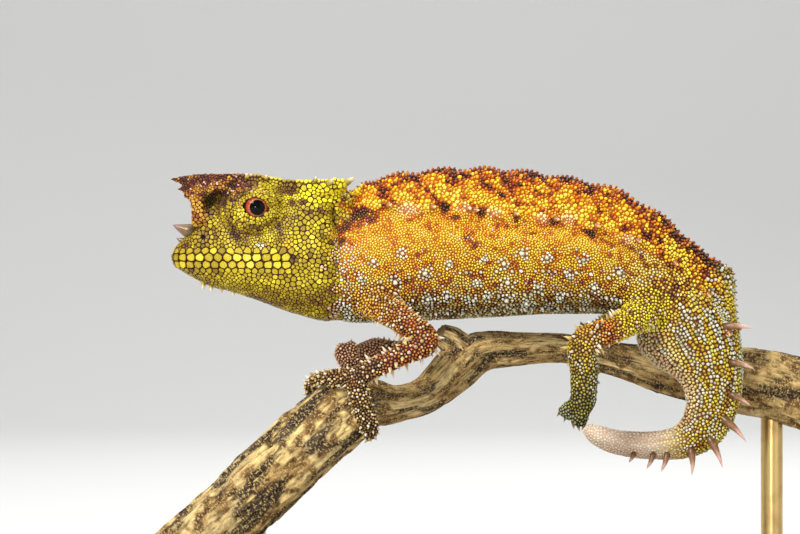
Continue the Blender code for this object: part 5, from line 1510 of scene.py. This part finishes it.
def bake_layout(piece, u, v, discs):
    """The map for baking: each scale as a small disc at its own place of the unwrapped skin."""
    root = np.stack([u, v], axis=1)
    root = 0.01 + 0.98 * (root - root.min(axis=0)) / (np.ptp(root, axis=0) + 1e-9)
    patch = (root[:, None] + DISC_RADIUS * discs[None]).reshape(-1, 2)
    corner = np.empty(len(piece.data.loops), np.int32)
    piece.data.loops.foreach_get("vertex_index", corner)
    layer = piece.data.uv_layers.new(name="OFBake")
    layer.data.foreach_set("uv", patch[corner].astype(np.float32).ravel())


def scale_piece(name, bed, chosen, form, finish):
    """The chosen scales as one mesh. A scale's outline at an angle t is the smooth least of span / cos of
    the angle off each neighbour's bearing and of its own size; its rows are that outline, drawn in and
    raised as its form says. Each row's colour is darkened and reddened towards the foot as painted shade,
    and lightened towards the apex colour at the top as a painted highlight."""
    sides, power, gap, rows = SCALE_FORMS[form]
    part = {key: value[chosen] for key, value in bed.items()}
    turn = full_turn(sides) + math.pi / sides
    facing = np.maximum(np.cos(turn[None, None] - part["bearing"][..., None]), 0)
    closeness = ((facing / part["span"][..., None]) ** power).sum(axis=1)
    closeness += (1 / ((PLATE_REACH if form == "plate" else OTHER_REACH) * part["size"][:, None])) ** power
    outline = (1 - gap) * closeness ** (-1 / power)
    lie, size = part["lie"][:, None], part["size"][:, None, None]
    flat = outline[..., None] * turned(turn, lie, part["side"][:, None])
    up = part["height"][:, None, None] * part["normal"][:, None]
    disc = np.stack([np.cos(turn), np.sin(turn)], axis=-1)
    rings, shades, discs = [], [], []
    for share, rise, lean, shade in rows:
        used = sides if share else 1
        rings.append(part["at"][:, None] + (share * flat + rise * up + lean * size * lie)[:, :used])
        shades += [shade] * used
        discs.append(share * disc[:used])
    points, shades = np.concatenate(rings, axis=1), np.array(shades)
    faces = scale_faces(len(points), points.shape[1], sides, len(rows) - 2)
    piece = mesh_piece(name, points.reshape(-1, 3), faces, finish)
    painted_shade = np.clip(1 - shades, 0, 1)
    colour = part["colour"][:, None] * (1 - painted_shade[:, None]) * mixed((1.0, 1.0, 1.0), DEEP_SHADE_TINT, painted_shade)
    paint(piece, np.clip(mixed(colour, APEX_HIGHLIGHT, np.clip(shades - 1, 0, 1)), 0.002, 0.98))
    if form == "plate":
        piece.data.set_sharp_from_angle(angle=PLATE_EDGE)
    bake_layout(piece, part["u"], part["v"], np.concatenate(discs))


beds = lip_seeds() + nostril_seeds() + tail_seeds() + roof_seeds() + keel_seeds() + rim_seeds()
beds += rosette_seeds() + limb_seeds() + fringe_seeds() + crest_seeds()
seeds = np.concatenate(beds)
seeds[:, :3] = on_skin(seeds[:, :3])
skin_spacing = spacings(skin_points, skin_survey)
cloud, cloud_spacing = candidates(skin_spacing)
kept = thinned(seeds[:, :3], seeds[:, 3], cloud, cloud_spacing)
filled, filled_spacing = cloud[kept], cloud_spacing[kept]
for _ in range(EVENINGS):
    filled = evened(filled, seeds[:, :3], cloud)

lids = [lid_scales(way) for way in (-1, 1)]
lid_at, lid_way, lid_size = (np.concatenate([lid[k] for lid in lids]) for k in range(3))
at = np.vstack([seeds[:, :3], filled, lid_at])
size = np.concatenate([seeds[:, 3], filled_spacing, lid_size])
form = np.concatenate([seeds[:, 4], np.full(len(filled), -1), np.full(len(lid_at), FORM_NUMBERS["plate"])])
height = np.concatenate([seeds[:, 5], 0.42 * filled_spacing, 0.22 * lid_size])
mark = np.concatenate([seeds[:, 6], np.full(len(filled) + len(lid_at), ORDINARY)])
normal = np.vstack([skin_way(at[: -len(lid_at)]), lid_way])
survey = surveyed(at, normal)
head, limb, body, s, which = (survey[key] for key in ("head", "limb", "body", "s", "which"))
draw = np.random.default_rng(5)
speckle, luck = draw.normal(size=len(at)), draw.random(len(at))
colour, chance = coloured(at, survey, speckle)
pale_tone = PALE_MID + 0.22 * speckle
creamy = limb & ~((which == 2) & (survey["share"] > 0.7))
pale_colour = np.where(creamy[:, None], on_ramp(CREAM, pale_tone), on_ramp(PALE, pale_tone))
pale_colour = np.where(head[:, None], PINK_WHITE, pale_colour)
pale_colour = pale_colour * np.where((s > TAIL_START) & ~limb, 0.95, 1.0)[:, None]
cream = on_ramp(CREAM, CREAM_MID + 0.25 * speckle)
cream = mixed(cream, OLIVE_CONE, eased(0.6, 0.9, survey["share"]) * (which > 1))
colour = mixed(colour, pale_colour, 0.85 * ((luck < chance) | (mark == TUBERCLE)))
colour = mixed(colour, cream, 0.85 * (mark == CREAM_CONE))
colour = mixed(colour, KEEL_TINT, 0.7 * (mark == KEEL))
plated = ~limb & (head_border(at) > 0.5) & (form < 0)
form = np.where(form < 0, np.where(plated, FORM_NUMBERS["plate"], FORM_NUMBERS["granule"]), form)
height = np.where(plated, 0.2 * size, height) * (1 - 0.6 * eased(40.5, 43.0, s))
around = np.stack([at[:, 2] - EYE_CENTRE[2], 0 * at[:, 0], EYE_CENTRE[0] - at[:, 0]], axis=1)
near_eye = head & (from_eye(at)[2] < 3.4) & (np.abs(at[:, 1]) > 1.5)
bed = with_neighbours({
    "at": at, "normal": normal, "lie": np.where(near_eye[:, None], around, survey["lie"]), "size": size,
    "height": height, "colour": colour, "u": survey["u"], "v": survey["v"],
})
scale_look = skin_finish("scale_horn", 0.5, 14000.0, 0.012)
left, tail = at[:, 1] < 0, s > TAIL_START + 0.5
regions = {
    "head_left": (head & left, "head_skin"), "head_right": (head & ~left, "head_skin"),
    "tail": (body & tail, "tail_skin"),
    "flank_left": (body & ~tail & left, "body_skin"), "flank_right": (body & ~tail & ~left, "body_skin"),
    "arms": (limb & (which < 2), "limb_skin"), "legs": (limb & (which > 1), "limb_skin"),
}
for region, (inside, slot) in regions.items():
    for kind, number in FORM_NUMBERS.items():
        chosen = inside & (form == number)
        if chosen.sum() > 20:
            scale_piece(f"{region}_{kind}s", bed, chosen, kind, scale_look)


# Spines, horns and claws are smooth hard cones of horn that curve a little and are rooted below the
# scales: on the roof's edge, in pairs along the tail, on snout, helmet and chin, and on each toe.

EDGE_SPINE, EDGE_SPINE_BEND = (0.42, 0.25), 0.25
TAIL_SPINES = [
    (32.35, 1.9), (34.85, 1.6), (37.0, 1.6), (38.7, 2.3), (40.15, 2.2), (41.45, 1.8), (43.1, 1.3),
    (44.15, 1.1), (45.6, 0.7),
]  # place along the spine's line, and length
TAIL_SPINE_ROOT, TAIL_SPINE_BEND = (0.12, 0.11), 0.18
HEAD_POINTS = [  # root, direction and size (length, root radius) on the right side
    ((-21.7, 0.8, 32.72), (-1, 0.1, 0.3), (1.3, 0.58)), ((-22.1, 0.6, 31.9), (-1, 0.1, 0.35), (0.6, 0.28)),
    ((-9.3, 2.3, 36.5), (1, 0.2, 0.45), (1.0, 0.3)), ((-10.4, 3.0, 36.5), (0.5, 0.8, 0.3), (0.8, 0.3)),
    ((-11.5, 3.0, 36.7), (0.2, 0.5, 0.8), (0.35, 0.2)), ((-16.9, 2.7, 37.0), (-0.2, 0.5, 0.8), (0.35, 0.22)),
    ((-18.1, 2.45, 37.0), (-0.2, 0.5, 0.8), (0.35, 0.22)), ((-15.4, 2.6, 36.9), (0.1, 0.5, 0.8), (0.3, 0.2)),
    ((-20.5, 0.75, 28.75), (-0.1, 0.3, -1), (0.75, 0.24)), ((-19.9, 0.7, 28.5), (0, 0.3, -1), (0.65, 0.22)),
    ((-19.1, 0.75, 28.35), (0, 0.3, -1), (0.6, 0.22)), ((-18.2, 0.8, 28.1), (0.1, 0.3, -1), (0.6, 0.22)),
]
CLAW_SIZE, CLAW_BEND = (0.42, 0.17), 0.45
HORN_SIDES, HORN_LAYERS, HORN_SUNK, HORN_TIP = 10, 9, 0.4, 0.02
HORN_TINTS = {  # colours of root and tip, and the share of the length where the tip's begins
    "edge": ((0.42, 0.12, 0.02), (0.84, 0.54, 0.22), 0.5),
    "tail": ((0.3, 0.14, 0.05), (0.66, 0.4, 0.3), 0.3),
    "nose": ((0.2, 0.11, 0.02), (0.22, 0.11, 0.08), 0.3),
    "head": ((0.46, 0.36, 0.04), (0.84, 0.7, 0.42), 0.4),
    "claw": ((0.2, 0.11, 0.04), (0.4, 0.27, 0.1), 0.2),
}
HORN_SHADES = ((0.72, 0.66, 0.62), (1.15, 1.15, 1.15))


def horns(name, rows, tints, bend, finish):
    """Curved cones as one mesh: each row is a root, a direction, a way to bend, a length and a radius. At a
    share t of the length the axis lies at t along the direction plus bend times t squared the other way,
    and the radius falls from the root's to nothing as (1 - t) to the power 0.8."""
    root, aim, curl, length, radius = (np.array(part, float) for part in zip(*rows))
    aim, length = unit(aim), length[:, None, None]
    curl = unit(curl - aim * (curl * aim).sum(axis=1, keepdims=True) + 1e-6)
    t = np.concatenate([[-HORN_SUNK], np.linspace(0, 0.97, HORN_LAYERS - 1), [1.0]])[:, None]
    share = np.clip(t[:, 0], 0, 1)
    axis = root[:, None] + length * (t * aim[:, None] + bend * (np.maximum(t, 0) ** 2) * curl[:, None])
    wide = np.maximum((1 - share) ** 0.8, HORN_TIP)
    ring = turned(full_turn(HORN_SIDES), curl[:, None], np.cross(aim, curl)[:, None])
    points = axis[:, :, None] + (radius[:, None] * wide)[..., None, None] * ring[:, None]
    quads, ends = ring_faces(len(t), HORN_SIDES)
    first = np.arange(len(root))[:, None, None] * len(t) * HORN_SIDES
    faces = [(first + quads).reshape(-1, 4), (first + ends).reshape(-1, HORN_SIDES)]
    piece = mesh_piece(name, points.reshape(-1, 3), faces, finish)
    root_tint, tip_tint, start = HORN_TINTS[tints]
    tone = mixed(root_tint, tip_tint, eased(start, 0.5 + 0.5 * start, share))
    # Each cone darkens towards its root, as painted shade where it meets the skin, and lightens a little
    # towards its tip.
    tone = tone * np.interp(share, [0, 0.15, 1], [0.5, 0.9, 1.1])[:, None]
    paint(piece, np.clip(np.broadcast_to(tone[None, :, None], points.shape), 0, 1))


def roof_edge_rows():
    """The row for each spine at the roof's edge, where a lobe ends."""
    s = LOBE_START + LOBE_SLANT + (np.arange(LOBES) + 0.72) * LOBE_PITCH
    centre, side, up, aft, sizes = body_frames(s)
    out, rise = body_outlines(s, sizes)[:, 1].T
    rows = []
    for way in (-1, 1):
        root = centre + way * out[:, None] * side + rise[:, None] * up
        aim = way * side - 0.15 * up + 0.5 * aft
        rows += [(*row, *EDGE_SPINE) for row in zip(root, aim, aft + 0.4 * up)]
    return rows


def tail_rows():
    """The row for each spine of the pairs along the tail."""
    s, length = np.array(TAIL_SPINES).T
    centre, side, up, aft, sizes = body_frames(s)
    rows = []
    for way in (-1, 1):
        root = centre + way * 0.62 * sizes[:, 2:3] * side + 0.72 * sizes[:, :1] * up
        aim = way * 0.42 * side + up + 0.3 * aft
        rows += list(zip(root, aim, aft, length, TAIL_SPINE_ROOT[0] + TAIL_SPINE_ROOT[1] * length))
    return rows


def claw_rows():
    """The row for each claw, which bows on the way its toe bends."""
    rows = []
    for limb, grips in GRIPS.items():
        for toes, bundle in grips:
            raised_hand = limb == "arm_right" and toes == 2
            for toe in toes_of(bundle, toes) if toes and not raised_hand else []:
                aim = unit(toe[-1, :3] - toe[-2, :3])
                bow = unit(toe[-1, :3] - 2 * toe[-2, :3] + toe[-3, :3] + 1e-3)
                rows.append((toe[-1, :3] + 0.55 * aim * toe[-1, 3], aim, bow, *CLAW_SIZE))
    return rows


horn_values = {"Roughness": 0.38, "Coat_Weight": 0.25, "Coat_Roughness": 0.2}
horn_look = grained("hard_horn", 7000.0, 3.0, HORN_SHADES, 0.02, **horn_values)
horns("roof_edge_spines", roof_edge_rows(), "edge", EDGE_SPINE_BEND, horn_look)
horns("tail_spines", tail_rows(), "tail", TAIL_SPINE_BEND, horn_look)
head_rows = [
    (np.multiply(root, (1, way, 1)), np.multiply(aim, (1, way, 1)), (0.3, 0, 1), *size)
    for root, aim, size in HEAD_POINTS for way in (-1, 1)
]
horns("nose_horns", head_rows[:4], "nose", 0.08, horn_look)
horns("head_horns", head_rows[4:], "head", 0.08, horn_look)
horns("claws", claw_rows(), "claw", CLAW_BEND, horn_look)


# The room: a pale seamless sweep for floor and backdrop, one large soft lamp above the camera's left
# shoulder, a weaker one to the right, one behind for the rim, and pale light all round.

CAMERA_PLACE, CAMERA_LENS, SENSOR_WIDTH = np.array((-4.8, -250.0, 29.84)), 140.6, 36.0
NEAR_CLIP, FAR_CLIP = 0.01, 10.0
SWEEP_HALF_WIDTH, SWEEP_FRONT, SWEEP_BACK, SWEEP_RADIUS, SWEEP_TOP = 900.0, -900.0, 320.0, 220.0, 900.0
SWEEP_STEPS, PAPER = 24, (0.72, 0.72, 0.7, 1)
SKY, SKY_STRENGTH = (0.92, 0.94, 1.0, 1), 0.2
LAMPS = [  # name, place, what it points at, size, watts
    ("key", (-150.0, -230.0, 230.0), (-2.0, 0.0, 30.0), 110.0, 1.2),
    ("fill", (240.0, -220.0, 90.0), (0.0, 0.0, 28.0), 220.0, 0.15),
    ("spark", (-24.0, -240.0, 26.0), (-16.0, -3.0, 34.0), 22.0, 0.09),
    ("rim", (90.0, 200.0, 260.0), (0.0, 0.0, 28.0), 160.0, 0.5),
    ("backdrop", (0.0, 120.0, 620.0), (0.0, 420.0, 0.0), 500.0, 2.0),
]

camera_data = bpy.data.cameras.new("camera")
camera_data.lens, camera_data.sensor_width = CAMERA_LENS, SENSOR_WIDTH
camera_data.clip_start, camera_data.clip_end = NEAR_CLIP, FAR_CLIP
camera = bpy.data.objects.new("camera", camera_data)
camera.location, camera.rotation_euler = CAMERA_PLACE * MM, (math.pi / 2, 0, 0)
bpy.context.scene.collection.objects.link(camera)
bpy.context.scene.camera = camera
bpy.context.scene.view_settings.view_transform = "Standard"

for name, place, target, size, watts in LAMPS:
    lamp_data = bpy.data.lights.new(name, "AREA")
    lamp_data.size, lamp_data.energy = size * MM, watts
    lamp = bpy.data.objects.new(name, lamp_data)
    lamp.location = np.array(place) * MM
    lamp.rotation_euler = Vector(np.subtract(target, place)).to_track_quat("-Z", "Y").to_euler()
    bpy.context.scene.collection.objects.link(lamp)

world = bpy.data.worlds.new("studio")
world.use_nodes = True
world.node_tree.nodes["Background"].inputs["Color"].default_value = SKY
world.node_tree.nodes["Background"].inputs["Strength"].default_value = SKY_STRENGTH
bpy.context.scene.world = world

bend = np.linspace(0, math.pi / 2, SWEEP_STEPS)
curve_y = SWEEP_BACK + SWEEP_RADIUS * np.sin(bend)
sweep_y = np.concatenate([[SWEEP_FRONT], curve_y, [SWEEP_BACK + SWEEP_RADIUS]])
sweep_z = np.concatenate([[0.0], SWEEP_RADIUS * (1 - np.cos(bend)), [SWEEP_TOP]])
sweep_points = np.concatenate([
    np.stack([np.full(len(sweep_y), x), sweep_y, sweep_z], axis=1)
    for x in (-SWEEP_HALF_WIDTH, SWEEP_HALF_WIDTH)
])
k = np.arange(len(sweep_y) - 1)
sweep_faces = np.stack([k, k + len(sweep_y), k + len(sweep_y) + 1, k + 1], axis=1)
paper = look("pale_paper", Base_Color=PAPER, Roughness=0.9)
mesh = bpy.data.meshes.new("sweep")
mesh.from_pydata((sweep_points * MM).tolist(), [], sweep_faces.tolist())
mesh.materials.append(paper)
mesh.shade_smooth()
sweep = bpy.data.objects.new("sweep", mesh)
bpy.context.scene.collection.objects.link(sweep)
